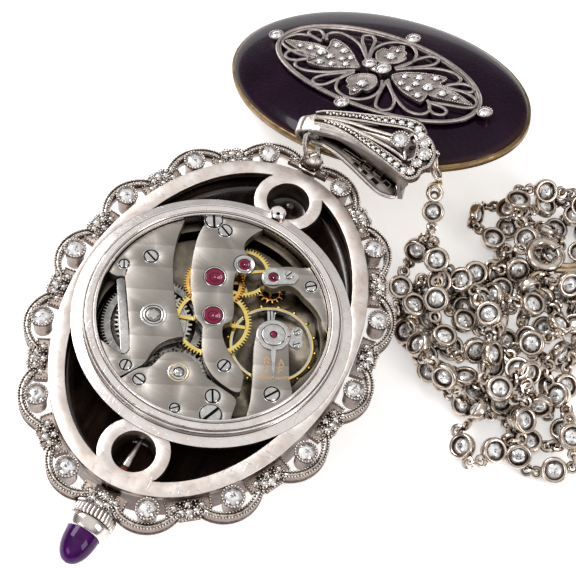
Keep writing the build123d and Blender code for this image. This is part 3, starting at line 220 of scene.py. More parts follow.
def bridge_mat():
    """Rhodium-plated bridges with broad soft stripes that run across the movement, each stripe with a painted sheen
    that brightens across it.
    """
    m, nt, b = mat_new("bridge_stripes")
    b.inputs["Metallic"].default_value = 1.0
    # stripes parallel to (0.89, 0.45): rotate so that local Y crosses them
    v = coords(nt, (1, 1, 1), (0, 0, -0.4699))
    sep = node(nt, "ShaderNodeSeparateXYZ")
    nt.links.new(v, sep.inputs["Vector"])
    wob = noise(nt, v, 0.35, 2.0, 0.5)
    y = math2(nt, "ADD", sep.outputs["Y"], math2(nt, "MULTIPLY", wob, 0.10))
    # painted sheen: a sawtooth ramp brightens each stripe from one edge to the other, and the brighter parts are made
    # smoother
    stripe_sheen = math2(nt, "FRACT", math2(nt, "MULTIPLY", y, 1.0 / 2.25), None)
    fine = noise(nt, coords(nt, (0.25, 7.0, 1.0), (0, 0, -0.4699)), 3.0, 3.0, 0.6)
    tone = math2(nt, "ADD", math2(nt, "MULTIPLY", stripe_sheen, 0.40), math2(nt, "MULTIPLY", fine, 0.60))
    col = ramp(nt, tone, [(0.15, (0.262, 0.238, 0.213)), (0.50, (0.345, 0.318, 0.290)), (0.88, (0.455, 0.425, 0.395))])
    spots = rng_map(nt, noise(nt, v, 0.9, 4.0, 0.6), 0.0, 1.0, 0.66, 0.78)
    col = mixc(nt, math2(nt, "MULTIPLY", spots, 0.30), col, (0.30, 0.25, 0.12))
    nt.links.new(col, b.inputs["Base Color"])
    nt.links.new(rng_map(nt, tone, 0.46, 0.34, 0.0, 1.0), b.inputs["Roughness"])
    bump(nt, b, fine, 0.10, 0.02)
    return m


M["bridge"] = bridge_mat()


def gem_mat(name, c, coat=1.0, rough=0.06, vary=0.35, spec=0.9, emit=0.0):
    m, nt, b = mat_new(name)
    b.inputs["Metallic"].default_value = 0.0
    b.inputs["Roughness"].default_value = rough
    b.inputs["IOR"].default_value = 1.77
    b.inputs["Coat Weight"].default_value = coat
    b.inputs["Coat Roughness"].default_value = 0.03
    v = coords(nt)
    n = noise(nt, v, 2.2, 3.0, 0.6)
    lo = tuple(q * (1 - vary) for q in c)
    hi = tuple(min(1.0, q * (1 + vary * 1.6)) for q in c)
    # painted sheen: the colour turns much lighter where the Layer Weight facing term rises towards the outline
    lw = node(nt, "ShaderNodeLayerWeight")
    lw.inputs["Blend"].default_value = 0.35
    col = mixc(nt, lw.outputs["Facing"], ramp(nt, n, [(0.3, lo), (0.7, hi)]), tuple(min(1.0, q * 2.6 + 0.03) for q in c))
    nt.links.new(col, b.inputs["Base Color"])
    return m


M["ruby"] = gem_mat("ruby", (0.42, 0.012, 0.11))
M["amethyst"] = gem_mat("amethyst", (0.085, 0.016, 0.17), 1.0, 0.05, 0.5)


def diamond_mat():
    """Faceted stone: each facet carries its own tone, as the inner reflections give it."""
    m, nt, b = mat_new("diamond")
    b.inputs["Metallic"].default_value = 0.55
    b.inputs["Roughness"].default_value = 0.06
    b.inputs["IOR"].default_value = 2.0
    b.inputs["Coat Weight"].default_value = 1.0
    b.inputs["Coat Roughness"].default_value = 0.02
    a = node(nt, "ShaderNodeAttribute", attribute_name="facet")
    v = coords(nt)
    n = noise(nt, v, 5.0, 2.0, 0.6)
    t = math2(nt, "ADD", math2(nt, "MULTIPLY", a.outputs["Fac"], 0.86), math2(nt, "MULTIPLY", n, 0.16))
    col = ramp(nt, t, [(0.04, (0.045, 0.042, 0.045)), (0.26, (0.34, 0.33, 0.33)), (0.50, (0.80, 0.79, 0.79)), (0.72, (1.0, 1.0, 1.0))])
    nt.links.new(col, b.inputs["Base Color"])
    return m


M["diamond"] = diamond_mat()


def dark_enamel():
    m, nt, b = mat_new("dark_enamel")
    b.inputs["Coat Weight"].default_value = 0.6
    b.inputs["Coat Roughness"].default_value = 0.12
    v = coords(nt)
    n1 = noise(nt, coords(nt, (1.0, 0.16, 1.0), (0, 0, 0.5)), 0.9, 5.0, 0.65)
    n2 = noise(nt, v, 3.2, 4.0, 0.7)
    t = math2(nt, "ADD", math2(nt, "MULTIPLY", n1, 0.7), math2(nt, "MULTIPLY", n2, 0.3))
    col = ramp(nt, t, [(0.38, (0.006, 0.004, 0.004)), (0.55, (0.020, 0.011, 0.008)), (0.70, (0.060, 0.036, 0.024))])
    dust = rng_map(nt, noise(nt, v, 7.0, 2.0, 0.5), 0.0, 1.0, 0.74, 0.80)
    col = mixc(nt, math2(nt, "MULTIPLY", dust, 0.5), col, (0.30, 0.25, 0.22))
    nt.links.new(col, b.inputs["Base Color"])
    nt.links.new(rng_map(nt, n1, 0.18, 0.42, 0.3, 0.7), b.inputs["Roughness"])
    bump(nt, b, n2, 0.15, 0.03)
    return m


M["dark"] = dark_enamel()


def purple_enamel():
    """Deep enamel under a clear coat: faint engine turning far down, cloudy tone, a few old scratches."""
    m, nt, b = mat_new("purple_enamel")
    b.inputs["Coat Weight"].default_value = 0.30
    b.inputs["Coat Roughness"].default_value = 0.06
    b.inputs["Coat IOR"].default_value = 1.42
    b.inputs["IOR"].default_value = 1.33
    b.inputs["Specular IOR Level"].default_value = 0.12
    tc = node(nt, "ShaderNodeTexCoord")
    # into the cover's own frame, millimetres
    sub = node(nt, "ShaderNodeVectorMath", operation="SUBTRACT")
    sub.inputs[1].default_value = (1.25 * MM, 31.53 * MM, 6.11 * MM)
    nt.links.new(tc.outputs["Object"], sub.inputs[0])
    axes = []
    for ax in ((0.9129, -0.2224, 0.3423), (0.2698, 0.958, -0.097)):
        d = node(nt, "ShaderNodeVectorMath", operation="DOT_PRODUCT")
        d.inputs[1].default_value = tuple(1000.0 * q for q in ax)
        nt.links.new(sub.outputs[0], d.inputs[0])
        axes.append(d.outputs["Value"])
    x, y = axes
    angle = math2(nt, "ARCTAN2", math2(nt, "MULTIPLY", y, 1.48), x)
    rr = math2(nt, "SQRT", math2(nt, "ADD", math2(nt, "MULTIPLY", x, x), math2(nt, "MULTIPLY", math2(nt, "MULTIPLY", y, y), 2.19)), None)
    wave = math2(nt, "SINE", math2(nt, "MULTIPLY", rr, 5.2), None)
    rays = math2(nt, "SINE", math2(nt, "ADD", math2(nt, "MULTIPLY", angle, 90.0), math2(nt, "MULTIPLY", wave, 1.4)), None)
    t = rng_map(nt, rays, 0.0, 1.0, -1.0, 1.0)
    cloud = noise(nt, coords(nt), 0.22, 3.0, 0.55)
    deep = ramp(nt, cloud, [(0.30, (0.0036, 0.0006, 0.0032)), (0.70, (0.0130, 0.0026, 0.0120))])
    col = mixc(nt, math2(nt, "MULTIPLY", t, 0.22), deep, (0.020, 0.005, 0.026))
    # worn gold-brown where the enamel thins at the rim
    edge = rng_map(nt, rr, 0.0, 1.0, 15.6, 16.3)
    col = mixc(nt, math2(nt, "MULTIPLY", edge, 0.30), col, (0.12, 0.055, 0.03))
    nt.links.new(col, b.inputs["Base Color"])
    sc = noise(nt, coords(nt, (0.3, 7.0, 3.0), (0, 0, 0.3)), 1.2, 2.0, 0.5)
    nt.links.new(rng_map(nt, sc, 0.20, 0.42, 0.55, 0.75), b.inputs["Roughness"])
    bump(nt, b, t, 0.05, 0.02)
    return m


M["enamel"] = purple_enamel()


def dial_mat():
    m, nt, b = mat_new("dial_silvered")
    b.inputs["Metallic"].default_value = 0.35
    v = coords(nt)
    n = noise(nt, v, 3.0, 4.0, 0.6)
    nt.links.new(ramp(nt, n, [(0.3, (0.74, 0.72, 0.66)), (0.7, (0.88, 0.87, 0.82))]), b.inputs["Base Color"])
    nt.links.new(rng_map(nt, n, 0.35, 0.5), b.inputs["Roughness"])
    bump(nt, b, noise(nt, v, 14.0, 2.0, 0.5), 0.08, 0.02)
    return m


M["dial"] = dial_mat()


def glass_mat():
    """Thin clear crystal: mostly see-through, with gloss and a few fine scratches."""
    m, nt, b = mat_new("watch_glass")
    b.inputs["Base Color"].default_value = (0.92, 0.95, 0.95, 1.0)
    b.inputs["Alpha"].default_value = 0.13
    b.inputs["IOR"].default_value = 1.5
    b.inputs["Coat Weight"].default_value = 1.0
    b.inputs["Coat Roughness"].default_value = 0.03
    s = noise(nt, coords(nt, (0.3, 6.0, 6.0), (0, 0, 0.8)), 1.2, 2.0, 0.5)
    nt.links.new(rng_map(nt, s, 0.03, 0.30, 0.66, 0.76), b.inputs["Roughness"])
    return m


M["glass"] = glass_mat()

# ------------------------------------------------------------------ CAD nodes: materials, edge breaks, smooth round faces
NODE_MAT = {
    "case_rim": "rim", "case_body": "case", "well_plate": "dark", "border_frame": "plat", "border_collets": "plat", "border_diamonds": "diamond", "pendant_knob": "plat",
    "crown_tube": "plat2", "movement_ring": "ring", "front_bezel": "ring", "crystal": "glass", "dial": "dial", "main_plate": "plate", "barrel_bridge": "bridge", "train_bridge": "bridge",
    "crown_wheel_bridge": "bridge", "balance_cock": "bridge", "escape_cock": "bridge", "case_screws": "steel", "bridge_screws": "steel", "jewels": "ruby", "end_caps": "steel",
    "chatons": "steel", "hairspring_stud": "steel", "click_spring": "steel", "setting_wheel": "gear", "hairspring": "blued", "barrel": "gilt", "ratchet_wheel": "gear",
    "barrel_arbor": "steel", "centre_wheel": "gilt", "third_wheel": "gilt", "fourth_wheel": "gilt", "escape_wheel": "gilt", "pallet_fork": "steel", "balance_wheel": "gilt",
    "balance_screws": "gilt", "regulator": "steel", "crown_wheel": "gear", "click": "steel", "wheel_studs": "steel", "winding_stem": "steel", "crown_shell": "plat2",
    "crown_cabochon": "amethyst", "minute_hand": "blued", "hour_hand": "blued", "bow": "plat2", "bail_frame": "plat2", "bail_stones": "diamond", "bail_ring": "chain",
    "drop_rings": "chain", "drop_bezel": "chain", "chain_strands": "chain", "chain_heap": "chain", "clasp_body": "chain", "clasp_bolt": "chain", "cover_shell": "gold_edge",
    "cover_enamel": "enamel", "cover_lattice": "plat", "cover_stones": "diamond",
}
BEVEL = {"case_rim": 0.05, "movement_ring": 0.06, "barrel_bridge": 0.05, "train_bridge": 0.05, "crown_wheel_bridge": 0.05, "balance_cock": 0.05, "escape_cock": 0.05, "crown_shell": 0.04,
         "case_screws": 0.02, "bridge_screws": 0.02, "regulator": 0.015, "end_caps": 0.02, "click_spring": 0.03, "crown_tube": 0.04, "front_bezel": 0.05, "case_body": 0.05,
         "hairspring_stud": 0.02, "barrel_arbor": 0.02, "main_plate": 0.04, "ratchet_wheel": 0.015, "crown_wheel": 0.015}
for name, o in N.items():
    assign(o, M[NODE_MAT[name]])
    me = o.data
    me.polygons.foreach_set("use_smooth", [True] * len(me.polygons))
    w = o.modifiers.new("weld", "WELD")
    w.merge_threshold = 2e-6
    if name in BEVEL:
        bv = o.modifiers.new("edge", "BEVEL")
        bv.width = BEVEL[name] * MM
        bv.segments = 2
        bv.limit_method = "ANGLE"
        bv.angle_limit = math.radians(38)
        bv.harden_normals = False
    me.set_sharp_from_angle(angle=math.radians(32))


# ------------------------------------------------------------------ detail geometry
def unit(v):
    v = np.asarray(v, float)
    return v / (np.linalg.norm(v) + 1e-12)


def frame_of(n, hint=(0.0, 0.0, 1.0)):
    """Two axes across n, the first as near to hint as it can be."""
    n = unit(n)
    h = np.asarray(hint, float)
    x = h - n * (h @ n)
    if np.linalg.norm(x) < 1e-3:
        h = np.array([1.0, 0.0, 0.0]) if abs(n[0]) < 0.9 else np.array([0.0, 1.0, 0.0])
        x = h - n * (h @ n)
    x = unit(x)
    return x, np.cross(n, x), n


def sphere_grid(seg, rings):
    v = [(0.0, 0.0, 1.0)]
    for i in range(1, rings):
        a = math.pi * i / rings
        v += [(math.sin(a) * math.cos(2 * math.pi * j / seg), math.sin(a) * math.sin(2 * math.pi * j / seg), math.cos(a)) for j in range(seg)]
    v.append((0.0, 0.0, -1.0))
    f = [(0, 1 + j, 1 + (j + 1) % seg) for j in range(seg)]
    for i in range(rings - 2):
        a, b = 1 + i * seg, 1 + (i + 1) * seg
        f += [(a + j, b + j, b + (j + 1) % seg, a + (j + 1) % seg) for j in range(seg)]
    a, last = 1 + (rings - 2) * seg, len(v) - 1
    f += [(last, a + (j + 1) % seg, a + j) for j in range(seg)]
    return np.array(v), f


BALL = sphere_grid(8, 5)
BALL_FINE = sphere_grid(16, 9)


class Geo:
    """Gathers shapes, in millimetres, into one mesh with several materials."""

    def __init__(self):
        self.v, self.f, self.m, self.s, self.t, self.n = [], [], [], [], [], 0

    def add(self, v, f, mat=0, smooth=True, tone=0.6):
        v = np.asarray(v, float)
        self.v.append(v)
        k = self.n
        self.f += [tuple(i + k for i in q) for q in f]
        self.n += len(v)
        c = len(f)
        self.m += [mat] * c
        self.s += [smooth] * c
        self.t += list(tone) if hasattr(tone, "__len__") else [tone] * c

    def bead(self, c, r, mat=0, axes=None, squash=(1, 1, 1), fine=False):
        b, f = BALL_FINE if fine else BALL
        q = b * np.asarray(squash, float) * r
        if axes is not None:
            q = q @ np.array(axes)
        self.add(q + np.asarray(c, float), f, mat)

    def sweep(self, pts, prof, mat=0, closed=False, up=None, scale=None, caps=True, smooth=True):
        """prof is a closed outline (k, 2): first along the side vector, second along the up vector."""
        p = np.asarray(pts, float)
        n, k = len(p), len(prof)
        prof = np.asarray(prof, float)
        if closed:
            t = np.roll(p, -1, 0) - np.roll(p, 1, 0)
        else:
            t = np.gradient(p, axis=0)
        t /= np.linalg.norm(t, axis=1)[:, None] + 1e-12
        ups = np.zeros_like(p)
        if up is not None:
            ups[:] = np.asarray(up, float)
            ups -= t * (ups * t).sum(1)[:, None]
        else:
            u = frame_of(t[0])[0]
            for i in range(n):
                u = u - t[i] * (u @ t[i])
                u = unit(u)
                ups[i] = u
            if closed:
                u = ups[-1] - t[0] * (ups[-1] @ t[0])
                u = unit(u)
                gap = math.atan2(np.cross(u, ups[0]) @ t[0], u @ ups[0])
                for i in range(n):
                    a = gap * i / n
                    ups[i] = ups[i] * math.cos(a) + np.cross(t[i], ups[i]) * math.sin(a)
        ups /= np.linalg.norm(ups, axis=1)[:, None] + 1e-12
        side = np.cross(t, ups)
        sc = np.ones(n) if scale is None else np.asarray(scale, float)
        v = p[:, None] + side[:, None] * (prof[None, :, 0:1] * sc[:, None, None]) + ups[:, None] * (prof[None, :, 1:2] * sc[:, None, None])
        f = []
        for i in range(n if closed else n - 1):
            a, b = i * k, ((i + 1) % n) * k
            f += [(a + j, b + j, b + (j + 1) % k, a + (j + 1) % k) for j in range(k)]
        v = v.reshape(-1, 3)
        if not closed and caps:
            f.append(tuple(range(k)))
            f.append(tuple((n - 1) * k + j for j in reversed(range(k))))
        self.add(v, f, mat, smooth)

    def tube(self, pts, r, mat=0, closed=False, k=8, scale=None, up=None, flat=1.0):
        a = 2 * math.pi * np.arange(k) / k
        self.sweep(pts, np.c_[np.cos(a) * r, np.sin(a) * r * flat], mat, closed, up, scale)

    def torus(self, c, n, R, r, mat=0, seg=28, k=8, hint=(0, 0, 1), oval=1.0, a0=0.0, a1=360.0):
        x, y, n = frame_of(n, hint)
        closed = a1 - a0 >= 359.9
        a = np.radians(np.linspace(a0, a1, seg, endpoint=not closed))
        pts = np.asarray(c, float) + np.outer(np.cos(a) * R * oval, x) + np.outer(np.sin(a) * R, y)
        self.tube(pts, r, mat, closed, k)

    def lathe(self, c, n, prof, mat=0, seg=32, hint=(0, 0, 1), closed=True, smooth=True, wob=None):
        """prof is a list of (radius, height), run so that the outside faces out."""
        x, y, n = frame_of(n, hint)
        a = 2 * math.pi * np.arange(seg) / seg
        k = len(prof)
        v = []
        for r, h in prof:
            rr = r if wob is None else r * (1 + wob[0] * np.cos(wob[1] * a))
            v.append(np.asarray(c, float) + np.outer(np.cos(a) * rr, x) + np.outer(np.sin(a) * rr, y) + n * h)
        f = []
        for i in range(k if closed else k - 1):
            a_, b_ = i * seg, ((i + 1) % k) * seg
            f += [(a_ + j, a_ + (j + 1) % seg, b_ + (j + 1) % seg, b_ + j) for j in range(seg)]
        v = np.concatenate(v)
        if not closed:
            f.append(tuple((k - 1) * seg + j for j in range(seg)))
            f.append(tuple(reversed(range(seg))))
        self.add(v, f, mat, smooth)

    def brilliant(self, c, n, r, mat=1, turn=0.0, bright=0.5, tall=0.34, table=0.56):
        """Round brilliant: table cut into the facets seen through it, stars, kites, upper and lower girdle, pavilion."""
        x, y, n = frame_of(n, (0.3, 0.7, 0.1))
        c = np.asarray(c, float)

        def ring(k, rad, h, off=0.0):
            a = 2 * math.pi * (np.arange(k) + off) / k + turn
            return c + np.outer(np.cos(a) * rad * r, x) + np.outer(np.sin(a) * rad * r, y) + n * (h * r)

        v = [c[None] + n * (tall * r)]
        v += [ring(8, 0.26, tall, 0.5), ring(8, table, tall), ring(8, 0.79, tall * 0.55, 0.5), ring(16, 1.0, 0.0), ring(16, 1.0, -0.05), c[None] - n * (0.8 * r)]
        v = np.concatenate(v)
        A, T, K, G, L, B = 1, 9, 17, 25, 41, 57
        f, t = [], []
        # the facet tones below are painted reflections, read by the diamond material
        rnd = RNG.random
        for j in range(8):
            f.append((0, A + j, A + (j + 1) % 8))
            t.append(0.10 + 0.9 * rnd() if rnd() < 0.7 else 0.05)
        for j in range(8):
            f.append((A + j, T + j, T + (j + 1) % 8))
            t.append(bright + (1 - bright) * rnd())
            f.append((A + j, T + (j + 1) % 8, A + (j + 1) % 8))
            t.append(rnd() * 0.9)
        for j in range(8):
            f.append((T + j, K + j, T + (j + 1) % 8))
            t.append(0.25 + 0.7 * rnd())
            f.append((T + j, K + (j - 1) % 8, G + 2 * j, K + j))
            t.append(0.1 + 0.9 * rnd())
        for j in range(8):
            f.append((K + j, G + 2 * j, G + (2 * j + 1) % 16))
            f.append((K + j, G + (2 * j + 1) % 16, G + (2 * j + 2) % 16))
            t += [rnd(), rnd() * 0.8]
        f += [(G + j, L + j, L + (j + 1) % 16, G + (j + 1) % 16) for j in range(16)]
        t += [0.3] * 16
        f += [(L + j, B, L + (j + 1) % 16) for j in range(16)]
        t += list(0.1 + 0.7 * RNG.random(16))
        self.add(v, f, mat, False, t)

    def rose(self, c, n, r, mat=1, turn=0.0, tall=0.42, bright=0.45):
        """Rose-cut stone: six facets round a point and a skirt of twelve."""
        x, y, n = frame_of(n, (0.3, 0.7, 0.1))
        c = np.asarray(c, float)
        a1 = 2 * math.pi * np.arange(6) / 6 + turn
        a2 = 2 * math.pi * (np.arange(6) + 0.5) / 6 + turn
        v = np.concatenate([
            c[None] + n * (tall * r),
            c + np.outer(np.cos(a1) * 0.56 * r, x) + np.outer(np.sin(a1) * 0.56 * r, y) + n * (tall * 0.72 * r),
            c + np.outer(np.cos(a2) * r, x) + np.outer(np.sin(a2) * r, y),
            c + np.outer(np.cos(a1) * r, x) + np.outer(np.sin(a1) * r, y),
            c[None] - n * (0.25 * r)])
        # the facet tones below are painted reflections, read by the diamond material
        f, t = [], []
        for j in range(6):
            k = (j + 1) % 6
            f += [(0, 1 + j, 1 + k), (1 + j, 7 + j, 1 + k), (1 + j, 13 + j, 7 + j), (1 + k, 7 + j, 13 + k), (19, 7 + j, 13 + j), (19, 13 + k, 7 + j)]
            t += [bright + (1 - bright) * RNG.random(), RNG.random(), RNG.random() * 0.8, RNG.random() * 0.8, 0.2, 0.2]
        self.add(v, f, mat, False, t)

    def build(self, name, mats, body, replaces=()):
        v = np.concatenate(self.v) * MM
        me = bpy.data.meshes.new(name)
        me.from_pydata(v.tolist(), [], self.f)
        me.polygons.foreach_set("material_index", self.m)
        me.polygons.foreach_set("use_smooth", self.s)
        at = me.attributes.new("facet", "FLOAT", "FACE")
        at.data.foreach_set("value", np.asarray(self.t, np.float32))
        me.update()
        o = bpy.data.objects.new(name, me)
        scene.collection.objects.link(o)
        for m in mats:
            me.materials.append(M[m])
        me.set_sharp_from_angle(angle=math.radians(40))
        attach(o, body)
        if replaces:
            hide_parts(*replaces)
        return o


def spline(pts, n=10, closed=False):
    """Catmull-Rom through the points."""
    p = np.asarray(pts, float)
    out = []
    k = len(p)
    for i in range(k if closed else k - 1):
        p0 = p[(i - 1) % k] if closed or i > 0 else 2 * p[0] - p[1]
        p1, p2 = p[i], p[(i + 1) % k]
        p3 = p[(i + 2) % k] if closed or i < k - 2 else 2 * p[-1] - p[-2]
        for j in range(n):
            t = j / n
            out.append(0.5 * (2 * p1 + (p2 - p0) * t + (2 * p0 - 5 * p1 + 4 * p2 - p3) * t * t + (3 * p1 - p0 - 3 * p2 + p3) * t ** 3))
    if not closed:
        out.append(p[-1])
    return np.array(out)


def spaced(pts, step, closed=False):
    """Points an even step apart along a line."""
    p = np.asarray(pts, float)
    if closed:
        p = np.vstack([p, p[:1]])
    d = np.linalg.norm(np.diff(p, axis=0), axis=1)
    s = np.concatenate([[0], np.cumsum(d)])
    k = max(2, int(round(s[-1] / step)))
    q = np.linspace(0, s[-1], k, endpoint=not closed) if closed else np.linspace(0, s[-1], k)
    return np.stack([np.interp(q, s, p[:, i]) for i in range(p.shape[1])], 1)


# ------------------------------------------------------------------ scalloped border
COLLETS = [(13.7, 0), (12.62, 7.15), (9.22, 13.57), (3.7, 17.85), (-3.7, 17.85), (-9.22, 13.57), (-12.62, 7.15),
           (-13.7, 0), (-12.62, -7.15), (-9.22, -13.57), (-3.7, -17.85), (3.7, -17.85), (9.22, -13.57), (12.62, -7.15)]
JUNCTIONS = [(13.25, 3.5), (11.0, 10.5), (6.55, 16.1), (0, 19.35), (-6.55, 16.1), (-11.0, 10.5), (-13.25, 3.5),
             (-13.15, -3.6), (-11.0, -10.45), (-6.5, -16.05), (0, -18.75), (6.5, -16.05), (11.0, -10.45), (13.15, -3.6)]


def out_normal(x, y, a=12.48, b=17.48):
    return unit((x / a ** 2, y / b ** 2))


def border():
    g = Geo()
    for i, (cx, cy) in enumerate(COLLETS):
        # drum: narrow foot, bulging side, lip; stone in a beaded setting
        c0 = (cx, cy, 0.0)
        prof = [(0.60, 5.62), (0.74, 5.60), (0.80, 5.72), (0.79, 6.1), (0.82, 6.7), (0.89, 7.3), (0.96, 7.72), (0.985, 7.88), (0.96, 7.98), (0.80, 7.99), (0.745, 7.93), (0.70, 7.72), (0.58, 6.9)]
        g.lathe(c0, (0, 0, 1), prof, 0, 36)
        nb = 22
        for j in range(nb):
            a = 2 * math.pi * (j + 0.3 * i) / nb
            r = 0.112 + 0.012 * RNG.random()
            g.bead((cx + 0.90 * math.cos(a), cy + 0.90 * math.sin(a), 7.985), r, 0, squash=(1, 1, 1.15))
        g.brilliant((cx, cy, 7.90), (0.03 * RNG.random(), 0.03, 1), 0.76, 1, RNG.random() * 6, 0.55)
    g.build("border_settings", ["plat", "diamond"], "case", ("border_collets", "border_diamonds"))

    g = Geo()
    for i, (cx, cy) in enumerate(COLLETS):
        j1, j2 = JUNCTIONS[(i - 1) % 14], JUNCTIONS[i]
        n = out_normal(cx, cy)
        a = np.array(j1) * 0.7 + 0.3 * np.array((cx, cy)) + 0.32 * n
        b = np.array(j2) * 0.7 + 0.3 * np.array((cx, cy)) + 0.32 * n
        t = np.array((cx, cy)) + n * 1.25
        # circle through a, t, b
        m = np.array([[t[0] - a[0], t[1] - a[1]], [b[0] - a[0], b[1] - a[1]]]) * 2
        q = np.array([t @ t - a @ a, b @ b - a @ a])
        c = np.linalg.solve(m, q)
        R = np.linalg.norm(a - c)
        a0, a1 = math.atan2(*(a - c)[::-1]), math.atan2(*(b - c)[::-1])
        at = math.atan2(*(t - c)[::-1])
        while a1 < a0:
            a1 += 2 * math.pi
        while at < a0:
            at += 2 * math.pi
        if at > a1:
            a0, a1 = a1 - 2 * math.pi, a0
            while at < a0:
                a0, a1 = a0 - 2 * math.pi, a1 - 2 * math.pi
        an = np.linspace(a0, a1, 40)

        def arc(rad, z):
            return np.c_[c[0] + rad * np.cos(an), c[1] + rad * np.sin(an), np.full(40, z)]

        for rad, r in ((R + 0.235, 0.115), (R - 0.225, 0.105)):
            g.sweep(arc(rad, 7.30), [(-0.07, -0.16), (0.07, -0.16), (0.06, 0.06), (-0.06, 0.06)], 0, up=(0, 0, 1))
            for q_ in spaced(arc(rad, 7.40), 0.245):
                g.bead(q_, r * (0.92 + 0.16 * RNG.random()), 0, squash=(1, 1, 1.1))
        # small raised grains along the channel
        for q_ in spaced(arc(R + 0.01, 7.36), 0.62)[1:-1]:
            g.bead(q_, 0.085, 0, squash=(1, 1, 0.8))
        # lower outer wall: a smooth rail at the foot
        g.sweep(arc(R + 0.24, 6.22), [(-0.07, -0.09), (0.08, -0.09), (0.08, 0.09), (-0.07, 0.09)], 0, up=(0, 0, 1))
    # junctions: rose stones between grains, framed by beads
    for j, (x, y) in enumerate(JUNCTIONS):
        n = out_normal(x, y)
        tg = np.array([-n[1], n[0]])
        c = np.array([x, y])
        small = j == 3
        if not small:
            for (du, dn), r in (((0.0, 0.36), 0.40), ((-0.62, 0.20), 0.27), ((0.62, 0.20), 0.27), ((0.0, -0.42), 0.27)):
                p = c + tg * du + n * dn
                g.rose((*p, 7.37), (0, 0, 1), r, 1, RNG.random() * 6, 0.5, 0.35)
                for q_ in range(7):
                    aa = 2 * math.pi * q_ / 7 + RNG.random() * 0.3
                    g.bead((p[0] + (r + 0.07) * math.cos(aa), p[1] + (r + 0.07) * math.sin(aa), 7.40), 0.085, 0)
        outl = [c + tg * du + n * dn for du, dn in ((-1.05, 0.62), (-0.55, 0.93), (0.0, 0.80), (0.55, 0.93), (1.05, 0.62))]
        if not small:
            for q_ in spaced(spline(outl, 6), 0.24):
                g.bead((*q_, 7.37), 0.10, 0)
        for sgn in (-1, 1):
            ln = [c + tg * du * sgn + n * dn for du, dn in ((0.98, 0.45), (0.72, -0.1), (0.62, -0.62))]
            for q_ in spaced(spline(ln, 5), 0.25):
                g.bead((*q_, 7.38), 0.095, 0)
    g.build("border_grains", ["plat", "stone_warm"], "case")


def gem_warm():
    """Old rose stones: greyer and warmer, and less bright."""
    m = M["diamond"].copy()
    m.name = "rose_stone"
    nt = m.node_tree
    for n in nt.nodes:
        if n.type == "VALTORGB":
            for e, c in zip(n.color_ramp.elements, [(0.06, 0.05, 0.045), (0.24, 0.20, 0.17), (0.52, 0.46, 0.42), (0.90, 0.87, 0.84)]):
                e.color = (*c, 1.0)
    return m


M["stone_warm"] = gem_warm()
border()


